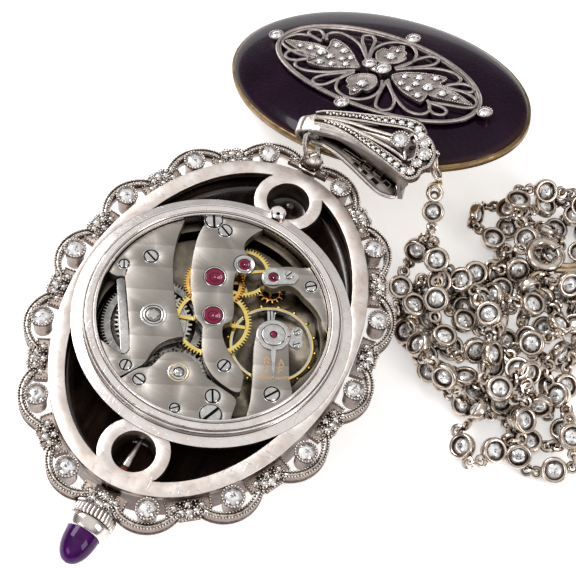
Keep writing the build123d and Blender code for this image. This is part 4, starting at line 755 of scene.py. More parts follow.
# ------------------------------------------------------------------ neck chain
# route of the whole chain, in metres: from the drop ring down one strand, through the heap and back up the other strand
ROUTE = [
    (0.01255, 0.0178, 0.00635), (0.0122, 0.01915, 0.00369), (0.0119, 0.01378, 0.00231), (0.01454, 0.0109, 0.00164), (0.01819, 0.00788, 0.00193), (0.02151, 0.00743, 0.0006),
    (0.02582, 0.00621, 0.00168), (0.02508, 0.01252, 0.00464), (0.02923, 0.01272, 0.00138), (0.03199, 0.00877, 0.0036), (0.03424, 0.005, 0.0006), (0.02679, 0.00394, 0.0006),
    (0.02887, 0.00674, 0.00374), (0.02749, 0.00892, 0.00361), (0.02266, 0.00768, 0.00396), (0.02285, 0.01441, 0.00354), (0.02021, 0.0154, 0.00393), (0.01608, 0.01901, 0.00379),
    (0.01377, 0.01493, 0.00134), (0.01302, 0.01112, 0.00063), (0.01883, 0.00936, 0.00064), (0.02168, 0.00977, 0.00217), (0.02488, 0.00701, 0.00323), (0.02223, 0.00337, 0.00062),
    (0.02613, 0.00121, 0.00177), (0.02798, 0.00816, 0.00184), (0.02705, 0.01117, 0.0006), (0.02335, 0.01418, 0.00257), (0.02834, 0.01639, 0.00458), (0.02617, 0.02034, 0.00209),
    (0.02112, 0.01671, 0.00446), (0.01852, 0.01856, 0.00109), (0.02078, 0.02396, 0.00261), (0.01423, 0.0242, 0.00229), (0.01596, 0.02879, 0.0006), (0.01953, 0.02718, 0.00323),
    (0.02166, 0.03253, 0.00108), (0.02517, 0.03115, 0.00228), (0.02647, 0.0258, 0.00071), (0.02608, 0.02227, 0.00255), (0.03198, 0.01954, 0.00151), (0.02872, 0.01568, 0.00345),
    (0.0304, 0.01182, 0.0009), (0.03297, 0.00832, 0.00114), (0.02751, 0.0055, 0.00065), (0.02575, 0.00992, 0.00066), (0.02207, 0.01364, 0.00066), (0.01745, 0.01047, 0.00065),
    (0.01458, 0.01581, 0.00068), (0.01955, 0.01793, 0.0006), (0.02143, 0.02145, 0.00208), (0.0273, 0.02081, 0.00209), (0.0252, 0.01547, 0.00024), (0.0216, 0.01428, 0.00161),
    (0.01638, 0.01442, 0.00237), (0.01535, 0.01957, 0.00081), (0.02051, 0.02085, 0.0007), (0.02336, 0.0233, 0.00187), (0.01791, 0.02752, 0.00429), (0.01767, 0.03008, 0.00294),
    (0.02395, 0.03327, 0.00253), (0.02595, 0.03104, 0.00266), (0.0293, 0.0253, 0.00134), (0.02822, 0.02265, 0.00322), (0.02211, 0.02095, 0.00435), (0.0227, 0.01748, 0.00062),
    (0.01885, 0.01421, 0.00063), (0.01623, 0.02007, 0.00254), (0.02101, 0.02084, 0.00294), (0.02447, 0.02401, 0.00285), (0.02345, 0.02885, 0.0021), (0.01742, 0.02761, 0.00062),
    (0.01866, 0.02257, 0.00068), (0.0244, 0.0246, 0.00066), (0.0213, 0.02969, 0.00066), (0.02619, 0.03211, 0.00066), (0.02847, 0.02656, 0.00066), (0.02787, 0.02309, 0.00065),
    (0.03206, 0.01851, 0.00071), (0.0278, 0.01512, 0.00059), (0.02428, 0.01497, 0.00209), (0.02315, 0.02252, 0.0006), (0.02627, 0.0237, 0.00069), (0.03013, 0.01767, 0.00125),
    (0.02676, 0.01605, 0.00238), (0.02991, 0.00996, 0.0006), (0.02863, 0.00847, 0.00359), (0.02378, 0.01322, 0.00362), (0.02268, 0.01237, 0.0006), (0.0237, 0.0061, 0.00165),
    (0.01871, 0.00799, 0.00447), (0.01666, 0.00846, 0.00264), (0.01325, 0.01488, 0.00212), (0.01463, 0.01672, 0.00411), (0.02145, 0.01735, 0.00163), (0.02327, 0.01576, 0.00334),
    (0.0211, 0.00938, 0.00317), (0.01711, 0.01301, 0.00075), (0.01594, 0.01304, 0.0053), (0.01469, 0.01843, 0.00378), (0.01315, 0.01805, 0.0063),
]


def route_line():
    cu = bpy.data.curves.new("chain_route", "CURVE")
    cu.dimensions = "3D"
    sp = cu.splines.new("NURBS")
    sp.points.add(len(ROUTE) - 1)
    for q, p in zip(sp.points, ROUTE):
        q.co = (*p, 1.0)
    sp.order_u = 3
    sp.use_endpoint_u = True
    sp.resolution_u = 12
    o = bpy.data.objects.new("chain_route", cu)
    scene.collection.objects.link(o)
    bpy.context.view_layer.update()
    me = bpy.data.meshes.new_from_object(o.evaluated_get(bpy.context.evaluated_depsgraph_get()))
    pts = np.array([v.co[:] for v in me.vertices])
    bpy.data.objects.remove(o)
    bpy.data.meshes.remove(me)
    bpy.data.curves.remove(cu)
    return pts


def station(g, c, d, n, k=1.0, loops=True, stone=1):
    """One diamond in a double-lipped ring setting, a soldered eye at each end."""
    c, d = np.asarray(c, float), unit(d)
    n = unit(n - d * (n @ d))
    prof = [(0.80, -0.30), (0.86, -0.42), (0.98, -0.47), (1.10, -0.44), (1.19, -0.33), (1.215, -0.12), (1.215, 0.12), (1.19, 0.33), (1.10, 0.44), (0.98, 0.47), (0.875, 0.43), (0.84, 0.30)]
    prof = [(r * k, h * k) for r, h in prof]
    g.lathe(c, n, prof, 0, 26, d)
    # inner wall in near-black brown: painted shade in the gap between ring and stone, over the silver's own toning
    g.lathe(c, n, [(0.845 * k, 0.34 * k), (0.76 * k, 0.02 * k), (0.76 * k, -0.10 * k), (0.82 * k, -0.34 * k), (0.84 * k, -0.30 * k), (0.80 * k, -0.04 * k), (0.855 * k, 0.31 * k)], 2, 20, d)
    g.brilliant(c + n * 0.10 * k, n, 0.775 * k, stone, RNG.random() * 6, 0.5, 0.36)
    if loops:
        for s in (-1, 1):
            e = c + d * s * 1.60 * k
            g.torus(e, n, 0.46 * k, 0.185 * k, 0, 18, 7, d)
            # fillet of solder between eye and ring
            g.bead(c + d * s * 1.19 * k, 0.22 * k, 3, frame_of(n, d), (1.0, 1.35, 0.85))


def neck_chain():
    line = route_line() * 1000.0
    d = np.linalg.norm(np.diff(line, axis=0), axis=1)
    s = np.concatenate([[0], np.cumsum(d)])
    L = s[-1]
    count = int(round(L / 4.44))
    pitch = L / count

    def at(q):
        return np.array([np.interp(q, s, line[:, i]) for i in range(3)])

    g = Geo()
    face = unit((0.14, -0.42, 0.90))
    eyes = []
    for k in range(count):
        m = (k + 0.5) * pitch
        a, b = at(m - 1.6), at(m + 1.6)
        c, dr = (a + b) / 2, unit(b - a)
        n = face - dr * (face @ dr)
        n = unit(n)
        side = np.cross(dr, n)
        most = math.asin(min(0.98, max(0.0, (c[2] - 0.50) / 1.25)))
        roll = float(RNG.normal(0, 0.42))
        if RNG.random() < 0.14:
            roll = float(RNG.choice([-1.25, 1.3]))
        if k < 2 or k > count - 3:
            roll *= 0.3
        flat = unit(np.array([0, 0, 1.0]) - dr * dr[2])
        own = math.atan2(np.cross(n, flat) @ dr, n @ flat)
        roll = max(min(roll, own + most), own - most)
        n = n * math.cos(roll) + np.cross(dr, n) * math.sin(roll)
        low = max(0.47 * abs(n[2]) + 1.2 * math.sqrt(max(0, 1 - n[2] ** 2)), 1.6 * abs(dr[2]) + 0.66 * math.sqrt(max(0, 1 - n[2] ** 2)) + 0.12)
        c = c + np.array([0, 0, max(0.0, low - c[2])])
        station(g, c, dr, n)
        eyes.append((c - dr * 1.60, c + dr * 1.60, n, dr))
    ends = [(np.array([12.75, 18.0, 6.75]), None), (np.array([13.05, 18.1, 6.7]), None)]
    for k in range(count + 1):
        p = eyes[k - 1][1] if k > 0 else ends[0][0]
        q = eyes[k][0] if k < count else ends[1][0]
        nn = eyes[k - 1][2] if k > 0 else eyes[0][2]
        dr = unit(q - p) if np.linalg.norm(q - p) > 0.2 else (eyes[k][3] if k < count else eyes[k - 1][3])
        side = np.cross(dr, nn)
        side = unit(side + 0.35 * RNG.normal(size=3))
        side = unit(side - dr * (side @ dr))
        c = (p + q) / 2
        gap = np.linalg.norm(q - p)
        R = max(0.52, gap / 2 - 0.08)
        reach = R * math.sqrt(max(0.0, 1 - side[2] ** 2)) + 0.165
        c[2] = max(c[2], reach)
        g.torus(c, side, R, 0.165, 0, 18, 7, dr)
        g.bead(c - dr * R, 0.19, 3, frame_of(side, dr), (1.0, 1.2, 1.0))
    o = g.build("neck_chain", ["chain", "diamond", "chain_dark", "solder"], "case", ("chain_strands", "chain_heap"))
    print("chain", round(L, 1), "mm", count, "stations, pitch", round(pitch, 3))
    return o, line


# painted shade over the silver's toning: the near-black brown inside the settings
M["chain_dark"] = metal("toned_recess_shade", (0.045, 0.026, 0.018), (0.12, 0.075, 0.05), 0.30, 0.5, 1.4, 8.0)
CHAIN, CHAIN_LINE = neck_chain()


def clasp_parts():
    """Tail eye and end tag of the spring-ring clasp."""
    g = Geo()
    c = np.array([23.0, 23.7, 3.95])
    g.torus(c + (-2.25, -0.6, 0.0), (0, 0.1, 1), 0.5, 0.19, 0, 20, 8)
    # collar rings at both ends of the hollow ring's mouth
    for deg in (15, 58, 172):
        a = math.radians(deg)
        g.torus(c + 1.42 * np.array([math.cos(a), math.sin(a), 0.0]), (-math.sin(a), math.cos(a), 0.0), 0.43, 0.07, 0, 18, 6)
    # oval ring under it and the end tag: two parallel gilt wires that run out to the right
    g.torus(c + (0.9, -2.4, -0.75), (0.2, -0.5, 0.85), 0.84, 0.27, 1, 24, 8, (1, 0, 0), 1.25)
    for off in (0.0, 0.62):
        ln = spline([c + (1.5, -0.2 - off, -0.35), c + (2.6, 0.55 - off, -0.55), c + (3.7, 1.7 - off, -0.95), c + (4.4, 3.0 - off, -1.5)], 8)
        g.tube(ln, 0.30, 1, False, 8)
    return g.build("clasp_details", ["chain", "pale_gold"], "case")


M["pale_gold"] = metal("pale_gold", (0.62, 0.47, 0.30), (0.86, 0.72, 0.52), 0.18, 0.32, 1.6, 8.0, 0.0, 0, (0.05, 0.03, 0.015), 0.15, 0.7)
CLASP = clasp_parts()


def trigger():
    g = Geo()
    c = np.array([23.0, 23.7, 3.95])
    a = math.radians(98)
    p = c + 1.42 * np.array([math.cos(a), math.sin(a), 0.0])
    out = np.array([math.cos(a), math.sin(a), 0.0])
    g.lathe(p + out * 0.445, out, [(0.0, 0.0), (0.15, 0.0), (0.14, 0.16), (0.22, 0.24), (0.24, 0.34), (0.15, 0.44), (0.0, 0.47)], 0, 14)
    return g.build("clasp_trigger_pin", ["chain"], "clasp_bolt")


TRIG = trigger()


def drop():
    """The single setting that hangs between the bail and the two strands."""
    g = Geo()
    c = np.array([12.22, 19.55, 8.45])
    dv = unit((0.35, -0.62, -0.70))
    n = unit((0.1, -0.62, 0.78))
    d = unit(dv - n * (dv @ n))
    station(g, c, d, n, 0.86)
    g.build("drop_setting", ["chain", "diamond", "chain_dark", "solder"], "case", ("drop_bezel",))


drop()


# ------------------------------------------------------------------ cover: enamel dome and openwork plaque
CC = np.array((1.25, 31.53, 6.11))
CX = unit((0.9129, -0.2224, 0.3423))
CZ = unit((-0.3064, 0.1809, 0.9346))
CY = np.cross(CZ, CX)
COV_A, COV_B = 16.38, 11.06


def on_cover(x, y, lift=0.0, A=COV_A - 0.22, B=COV_B - 0.22):
    q = 1 - (x / A) ** 2 - (y / B) ** 2
    z = 0.33 + 1.64 * math.sqrt(max(q, 0.0)) + lift
    return CC + CX * x + CY * y + CZ * z


def enamel_dome():
    g = Geo()
    seg, rings = 96, 22
    A, B = COV_A - 0.22, COV_B - 0.22
    v = [on_cover(0, 0)]
    for i in range(1, rings + 1):
        rho = math.sin(0.5 * math.pi * i / rings)
        for j in range(seg):
            a = 2 * math.pi * j / seg
            v.append(on_cover(A * rho * math.cos(a) * 0.99999, B * rho * math.sin(a) * 0.99999))
    for off, z in ((0.0, 0.22), (-0.30, 0.16)):
        for j in range(seg):
            a = 2 * math.pi * j / seg
            v.append(CC + CX * (A + off) * math.cos(a) + CY * (B + off) * math.sin(a) + CZ * z)
    f = [(0, 1 + j, 1 + (j + 1) % seg) for j in range(seg)]
    for i in range(rings + 1):
        a_, b_ = 1 + i * seg, 1 + (i + 1) * seg
        f += [(a_ + j, b_ + j, b_ + (j + 1) % seg, a_ + (j + 1) % seg) for j in range(seg)]
    g.add(v, f, 0)
    return g.build("cover_dome", ["enamel"], "cover", ("cover_enamel",))


M["plaque"] = metal("plaque_metal", (0.50, 0.42, 0.40), (0.80, 0.72, 0.69), 0.24, 0.42, 1.3, 10.0, 0.0, 0, (0.05, 0.03, 0.03), 0.2, 0.5)
enamel_dome()

LIFT = 0.44
LOOPS = [
    [(-1.34, 0.36), (-2.2, 1.05), (-3.6, 2.05), (-5.3, 2.62), (-6.8, 2.72), (-7.55, 2.2), (-7.5, 1.55), (-6.9, 0.9)],
    [(-1.34, 0.36), (-2.5, 1.55), (-3.85, 2.75), (-4.35, 3.6), (-3.7, 4.05), (-2.85, 3.5), (-2.2, 2.2), (-1.34, 0.5)],
    [(-1.27, 0.67), (-1.9, 2.1), (-1.75, 3.5), (-0.9, 4.5), (0.5, 4.86), (1.8, 4.1), (2.45, 2.9), (2.35, 1.7), (1.77, 0.74)],
    [(1.77, 0.74), (2.3, 2.0), (2.7, 3.4), (3.3, 4.4), (4.2, 4.5), (4.4, 3.5), (3.5, 2.2), (2.0, 0.75)],
    [(2.02, 0.61), (3.3, 1.75), (4.9, 2.95), (6.5, 3.5), (7.8, 3.2), (8.0, 2.3), (7.4, 1.5)],
    [(7.4, 1.19), (7.8, 1.95), (8.6, 2.65), (9.6, 2.76), (9.85, 2.1), (9.0, 1.55), (7.64, 1.2)],
    [(7.46, 1.12), (9.3, 1.62), (10.75, 1.5), (11.35, 0.75), (10.9, -0.1), (9.4, -0.8), (7.73, -1.55)],
    [(7.78, -1.62), (8.3, -2.3), (9.0, -2.6), (9.75, -2.3), (9.8, -1.65), (9.0, -1.42), (7.93, -1.6)],
    [(2.45, -1.07), (3.6, -2.1), (5.1, -3.05), (6.7, -3.7), (8.0, -3.5), (8.45, -2.75), (8.1, -2.0), (7.42, -1.44)],
    [(2.42, -1.33), (2.9, -2.7), (3.4, -4.0), (4.0, -4.85), (4.9, -4.95), (5.35, -4.2), (4.6, -2.95), (2.59, -1.45)],
    [(2.08, -1.56), (2.75, -2.6), (2.85, -3.8), (2.1, -4.9), (0.5, -5.3), (-0.9, -4.8), (-1.55, -3.7), (-1.5, -2.7), (-1.03, -1.92)],
    [(-1.03, -1.92), (-2.3, -2.95), (-3.4, -4.0), (-3.75, -4.85), (-3.1, -5.3), (-2.3, -4.95), (-1.7, -3.7), (-1.07, -2.06)],
    [(-1.17, -1.65), (-2.9, -3.05), (-4.4, -3.85), (-5.8, -4.2), (-6.9, -3.95), (-7.15, -3.2), (-6.5, -2.6)],
    [(-6.39, -2.38), (-7.3, -1.95), (-8.3, -1.95), (-9.0, -2.4), (-8.9, -3.15), (-8.1, -3.5), (-7.2, -3.2), (-6.43, -2.52)],
    [(-5.9, -2.1), (-7.74, -2.35), (-9.4, -2.1), (-10.6, -1.6), (-11.0, -0.8), (-10.4, 0.3), (-8.9, 0.75), (-7.22, 0.48)],
    [(-7.3, 0.57), (-8.5, 0.75), (-9.5, 1.1), (-9.65, 1.75), (-8.8, 2.05), (-7.9, 1.6), (-7.38, 0.85)],
]
LEAF_L = [(-0.95, -1.15), (-2.0, -0.35), (-3.0, 0.35), (-4.4, 1.1), (-6.2, 1.5), (-6.35, 0.95), (-6.0, 0.35), (-5.9, -0.1), (-6.6, -0.2), (-7.4, -0.2), (-9.2, -0.65), (-10.7, -1.2), (-9.2, -1.75), (-7.5, -2.0), (-6.4, -2.0), (-5.75, -1.9),
          (-6.0, -2.45), (-6.1, -3.1), (-4.6, -3.05), (-3.2, -2.5), (-1.9, -1.8)]
LEAF_R = [(2.3, -0.4), (2.9, 0.55), (3.9, 1.25), (4.8, 1.75), (6.7, 2.4), (6.95, 1.85), (6.85, 1.3), (7.3, 1.15), (8.8, 1.05), (10.2, 0.75), (11.3, 0.45), (9.8, -0.1), (8.6, -0.55), (7.5, -0.85), (6.95, -0.85), (7.1, -1.4), (7.05, -2.15),
          (5.9, -2.1), (4.9, -1.95), (3.9, -1.55), (3.1, -1.1)]
LEAF_T = [(0.1, 0.5), (-0.75, 1.0), (-1.3, 1.8), (-1.15, 2.7), (-0.55, 2.75), (-0.65, 3.35), (-0.2, 3.75), (0.2, 4.3), (0.75, 3.6), (1.25, 3.35), (1.35, 2.85), (1.8, 2.6), (1.75, 1.85), (1.35, 1.2)]
LEAF_B = [(1.1, -1.35), (1.9, -2.0), (2.15, -2.8), (1.95, -3.6), (1.4, -3.7), (1.35, -4.3), (0.95, -5.0), (0.45, -4.4), (-0.1, -4.15), (-0.25, -3.7), (-0.8, -3.5), (-0.85, -2.7), (-0.4, -2.0), (0.35, -1.5)]
STONES = [((-7.42, -0.95), 0.36), ((-5.95, -0.92), 0.52), ((-4.75, -1.13), 0.40), ((-5.4, 0.75), 0.38), ((-4.15, 0.35), 0.40), ((-2.85, -0.25), 0.32), ((-5.05, -2.38), 0.38), ((-3.79, -2.05), 0.36), ((-2.58, -1.35), 0.34),
          ((-8.6, -1.15), 0.26), ((-3.45, -0.85), 0.30), ((3.46, 0.24), 0.36), ((4.67, 0.9), 0.40), ((6.02, 1.72), 0.36), ((3.8, -0.86), 0.34), ((4.89, -1.12), 0.38), ((6.28, 0.16), 0.54), ((6.2, -1.45), 0.38), ((7.92, 0.2), 0.42), ((9.26, 0.4), 0.30), ((5.0, -0.1), 0.34),
          ((0.25, 2.1), 0.50), ((0.78, -2.95), 0.50), ((0.2, 3.3), 0.22), ((0.85, -4.1), 0.22)]


def plaque():
    g = Geo()
    wire = [(-0.15, -0.10), (-0.09, -0.15), (0.09, -0.15), (0.15, -0.10), (0.15, 0.05), (0.08, 0.13), (-0.08, 0.13), (-0.15, 0.05)]
    wide = [(a * 1.25, b * 1.15) for a, b in wire]

    def lay(pts, lift=LIFT, closed=False, n=8):
        return np.array([on_cover(x, y, lift) for x, y in spline(pts, n, closed)])

    an = np.linspace(0, 2 * math.pi, 97)[:-1]
    fr = np.array([on_cover(0.2 + 11.72 * math.cos(a), -0.27 + 5.52 * math.sin(a), LIFT) for a in an])
    g.sweep(fr, wide, 0, True, CZ)
    fr2 = np.array([on_cover(0.2 + 11.42 * math.cos(a), -0.27 + 5.24 * math.sin(a), LIFT - 0.14) for a in an])
    g.sweep(fr2, [(q * 0.75, w * 0.9) for q, w in wire], 0, True, CZ)
    for lp in LOOPS:
        g.sweep(lay(lp), wire, 0, False, CZ)
    # leaves: serrated plates with a raised beaded edge
    for k, leaf in enumerate((LEAF_L, LEAF_R, LEAF_T, LEAF_B)):
        o = spline(leaf, 3, True)
        c = o.mean(0)
        inn = c + (o - c) * 0.90
        lo = np.array([on_cover(x, y, LIFT - 0.20) for x, y in o])
        hi = np.array([on_cover(x, y, LIFT + 0.10) for x, y in o])
        hj = np.array([on_cover(x, y, LIFT + 0.04) for x, y in inn])
        n = len(o)
        v = np.concatenate([lo, hi, hj])
        area = sum(o[i][0] * o[(i + 1) % n][1] - o[(i + 1) % n][0] * o[i][1] for i in range(n))
        f = []
        for i in range(n):
            j = (i + 1) % n
            q1, q2 = (i, j, n + j, n + i), (n + i, n + j, 2 * n + j, 2 * n + i)
            if area < 0:
                q1, q2 = q1[::-1], q2[::-1]
            f += [q1, q2]
        top = tuple(range(2 * n, 3 * n)) if area > 0 else tuple(reversed(range(2 * n, 3 * n)))
        bot = tuple(reversed(range(n))) if area > 0 else tuple(range(n))
        f += [top, bot]
        g.add(v, f, 0)
        for x, y in spaced(c + (o - c) * 0.965, 0.235, True):
            g.bead(on_cover(x, y, LIFT + 0.11), 0.085 + 0.01 * RNG.random(), 0)
    for (x, y), r in STONES:
        g.rose(on_cover(x, y, LIFT + 0.08), CZ, r, 1, RNG.random() * 6, 0.55, 0.7)
        for q in range(5):
            a = 2 * math.pi * q / 5 + RNG.random() * 0.5
            g.bead(on_cover(x + (r + 0.06) * math.cos(a), y + (r + 0.06) * math.sin(a), LIFT + 0.13), 0.085, 0)
    # stem collets in the middle, and one at each end of both axes
    for (x, y), r, up in (((1.3, -0.4), 0.66, 0.42), ((-0.45, -0.28), 0.56, 0.30), ((-12.2, -0.8), 0.60, 0.12), ((12.6, 0.4), 0.60, 0.12), ((0.0, 5.95), 0.58, 0.10), ((0.95, -6.2), 0.58, 0.10)):
        c = on_cover(x, y, LIFT + up - 0.1)
        g.lathe(c, CZ, [(0.30, -0.42 - up), (0.42, -0.40 - up), (r * 0.86, -0.22), (r + 0.14, 0.02), (r + 0.16, 0.14), (r + 0.04, 0.17), (r - 0.04, 0.10), (r * 0.7, -0.1)], 0, 24)
        for q in range(16):
            a = 2 * math.pi * q / 16
            g.bead(c + CX * (r + 0.09) * math.cos(a) + CY * (r + 0.09) * math.sin(a) + CZ * 0.17, 0.095, 0)
        g.brilliant(c + CZ * 0.10, CZ, r, 1, RNG.random() * 6, 0.8)
    g.bead(on_cover(0.4, -0.35, LIFT + 0.05), 0.5, 0, (CX, CY, CZ), (1.7, 1.0, 0.5), True)
    return g.build("cover_openwork", ["plaque", "diamond"], "cover", ("cover_lattice", "cover_stones"))


plaque()


# ------------------------------------------------------------------ bail: ribs, stones, end ornament, back leaf
BO = np.array((-0.97, 20.1, 11.2))
BU = unit((0.957, 0.2052, 0.2052))
BW = unit((-0.1914, -0.0851, 0.9778))
BV = np.cross(BW, BU)


def on_bail(u, v, h=0.5):
    return BO + BU * u + BV * v + BW * h


def ribbon(g, pts, prof_of, mat=0, closed=False, n=8, axis=None, caps=True):
    """Sweep whose section changes along the way: prof_of(t) gives (across, up) pairs."""
    ln = np.asarray(pts, float)
    m = len(ln)
    axis = BW if axis is None else axis
    rows = []
    for i in range(m):
        a, b = ln[max(0, i - 1)], ln[min(m - 1, i + 1)]
        t = unit(b - a)
        side = unit(np.cross(axis, t))
        up = np.cross(t, side)
        rows.append([ln[i] + side * p + up * q for p, q in prof_of(i / (m - 1))])
    k = len(rows[0])
    v = [p for r in rows for p in r]
    f = []
    for i in range(m - 1):
        for j in range(k):
            f.append((i * k + j, i * k + (j + 1) % k, (i + 1) * k + (j + 1) % k, (i + 1) * k + j))
    if caps:
        f += [tuple(reversed(range(k))), tuple(range((m - 1) * k, m * k))]
    g.add(v, f, mat)


def bail_work():
    g = Geo()
    UP = [(0.30, 1.08), (1.0, 1.30), (2.5, 1.45), (4.7, 1.52), (6.2, 1.50), (7.5, 1.55), (8.8, 1.52), (9.7, 1.18), (10.15, 0.45)]
    LO = [(0.30, 0.42), (1.1, 0.46), (2.5, 0.24), (4.1, -0.38), (5.4, -1.10), (6.8, -1.90), (8.1, -2.66), (9.1, -3.28), (9.85, -3.75)]

    def lay(pts, h=0.5, n=8):
        return np.array([on_bail(u, v, h) for u, v in spline(pts, n)])

    ang_b = math.atan2(1.9, 9.0)

    def on_back(u, v, h):
        return BO + BV * v + BW * (-1.7 + h * math.cos(ang_b) - u * math.sin(ang_b)) + BU * (u * math.cos(ang_b) + h * math.sin(ang_b))
    # the two pave ribs: a trough between milgrain edges that widens to the end
    for pts, w0, w1, sts in ((UP, 0.30, 0.56, 1.0), (LO, 0.28, 0.50, 0.92)):
        ln = lay(pts, 0.48)

        def prof(t, w0=w0, w1=w1):
            w = w0 + (w1 - w0) * min(1, t * 1.15)
            return [(-w, -0.30), (w, -0.30), (w + 0.05, 0.20), (w - 0.08, 0.28), (w - 0.16, 0.20), (-w + 0.16, 0.20), (-w + 0.08, 0.28), (-w - 0.05, 0.20)]
        ribbon(g, ln, prof)
        m = len(ln)
        ribbon(g, ln, lambda t, w0=w0, w1=w1: [(-(w0 + (w1 - w0) * min(1, t * 1.15)) + 0.14, 0.17), (w0 + (w1 - w0) * min(1, t * 1.15) - 0.14, 0.17), (w0 + (w1 - w0) * min(1, t * 1.15) - 0.15, 0.222), (-(w0 + (w1 - w0) * min(1, t * 1.15)) + 0.15, 0.222)], 3)
        # stones growing from a third of the way; grains before them
        d = np.linalg.norm(np.diff(ln, axis=0), axis=1)
        s = np.concatenate([[0], np.cumsum(d)])
        at = lambda q: np.array([np.interp(q, s, ln[:, i]) for i in range(3)])
        q = s[-1] * 0.10
        odd = 1
        while q < s[-1] * 0.42:
            side = unit(np.cross(BW, at(q + 0.1) - at(q - 0.1)))
            g.bead(at(q) + BW * 0.25 + side * odd * 0.045, 0.155, 2, None, 1.0)
            odd = -odd
            q += 0.30
        q = s[-1] * 0.43
        while q < s[-1] - 0.25:
            t = q / s[-1]
            r = (0.20 + 0.30 * (t - 0.40) / 0.6) * sts
            q += r
            c = at(q) + BW * 0.26
            g.rose(c - BW * 0.10, BW, r, 1, RNG.random() * 6, 0.62, 0.9)
            side = unit(np.cross(BW, at(q + 0.1) - at(q - 0.1)))
            fwd = np.cross(side, BW)
            for a, b in ((1, 1), (1, -1), (-1, 1), (-1, -1)):
                g.bead(c + side * a * r * 0.72 + fwd * b * r * 0.80, 0.11, 0)
            q += r + 0.07
    # plain polished ribs between them
    for pts, w in (([(0.4, 0.92), (1.9, 0.92), (3.84, 0.72), (5.3, 0.42), (6.6, 0.22), (7.6, 0.06)], 0.23),
                   ([(1.6, 0.62), (3.0, 0.42), (4.32, 0.0), (5.89, -0.58), (7.4, -1.20), (8.58, -1.82), (9.12, -2.26)], 0.24)):
        ln = lay(pts, 0.46)
        ribbon(g, ln, lambda t, w=w: [(w * 1.1 * math.cos(a), -0.12 + 0.46 * math.sin(a)) for a in np.linspace(math.pi * 1.06, -0.06 * math.pi, 9)], 0)
    # smooth rolled end over the fold
    an = np.linspace(0.02, 0.80, 12) * math.pi
    rows = []
    wide = ((-0.60, -0.10), (-0.52, 0.02), (-0.30, 0.05), (0.2, 0.06), (0.65, 0.05), (0.90, 0.02), (0.98, -0.10))
    for du, lo, hi in ((0.95, -0.60, 1.62), (0.55, -0.60, 1.50), (0.15, -0.60, 1.28)):
        for i, (dv, dr) in enumerate(wide):
            rows.append(on_bail(du, lo + (hi - lo) * (dv + 0.60) / 1.58, 0.545 + dr))
    for a in an:
        cu, ch = -0.2 - 1.235 * math.sin(a), -0.7 + 1.235 * math.cos(a)
        for dv, dr in wide:
            taper = 1.12 - 0.37 * min(1.0, a / math.pi * 1.6)
            rows.append(on_bail(cu - dr * math.sin(a), (dv - 0.19) * taper + 0.22, ch + dr * math.cos(a)))
    k = 7
    f = [(i * k + j, i * k + j + 1, (i + 1) * k + j + 1, (i + 1) * k + j) for i in range(len(an) + 2) for j in range(k - 1)]
    g.add(rows, f, 2)
    # satin side wall from the front leaf down to the back leaf, and round its tip
    lower = spline([(0.35, 0.02), (1.1, 0.0), (2.5, -0.22), (4.1, -0.86), (5.4, -1.58), (6.8, -2.40), (8.1, -3.16), (9.0, -3.74), (9.75, -4.12)], 6)
    outer = spline([(0.35, -0.52), (1.79, -0.63), (2.9, -0.78), (3.9, -1.13), (5.2, -1.66), (6.2, -2.14), (8.1, -3.27), (9.15, -4.02), (10.0, -4.40)], 6)
    foot = spline([(0.8, 0.55), (1.5, 0.62), (2.5, 0.42), (3.6, 0.00), (4.8, -0.66), (6.0, -1.30), (7.6, -2.02), (8.75, -2.75), (8.72, -3.62)], 6)
    rows = []
    for p, q, r in zip(lower, outer, foot):
        rows += [on_bail(p[0], p[1], 0.46), on_bail(p[0], p[1], 0.60), on_bail((p[0] + q[0]) / 2, (p[1] + q[1]) / 2, 0.56), on_bail(q[0], q[1], 0.40), on_bail(q[0], q[1], -0.05)]
        end, top = on_back(r[0], r[1], 0.16), on_bail(q[0], q[1], -0.05)
        rows += [top * 0.66 + end * 0.34 - BV * 0.10, top * 0.33 + end * 0.67 - BV * 0.06, end]
    k = 8
    f = [(i * k + j, (i + 1) * k + j, (i + 1) * k + j + 1, i * k + j + 1) for i in range(len(lower) - 1) for j in range(k - 1)]
    g.add(rows, f, 4)
    ribbon(g, np.array([on_bail(p[0], p[1], 0.60) for p in lower]), lambda t: [(0.07 * math.cos(a), 0.09 * math.sin(a)) for a in np.linspace(0, 2 * math.pi, 7)[:-1]], 2)
    # large diamond on a short stem, in a scalloped collet
    c = on_bail(8.46, -0.52, 0.98)
    g.lathe(c, BW, [(0.30, -0.80), (0.36, -0.55), (0.62, -0.32), (0.80, -0.05), (0.86, 0.08), (0.80, 0.14), (0.70, 0.08), (0.5, -0.15)], 0, 32)
    for k in range(20):
        a = 2 * math.pi * k / 20
        g.bead(c + (BU * math.cos(a) + BV * math.sin(a)) * 0.80 + BW * 0.10, 0.12, 0)
    g.brilliant(c + BW * 0.06, BW, 0.66, 1, 0.3, 0.9)
    ribbon(g, lay([(8.95, -1.25), (9.12, -1.75), (9.25, -2.4)], 0.62, 6), lambda t: [(0.15 * math.cos(a), 0.15 * math.sin(a)) for a in np.linspace(0, 2 * math.pi, 9)[:-1]], 2)
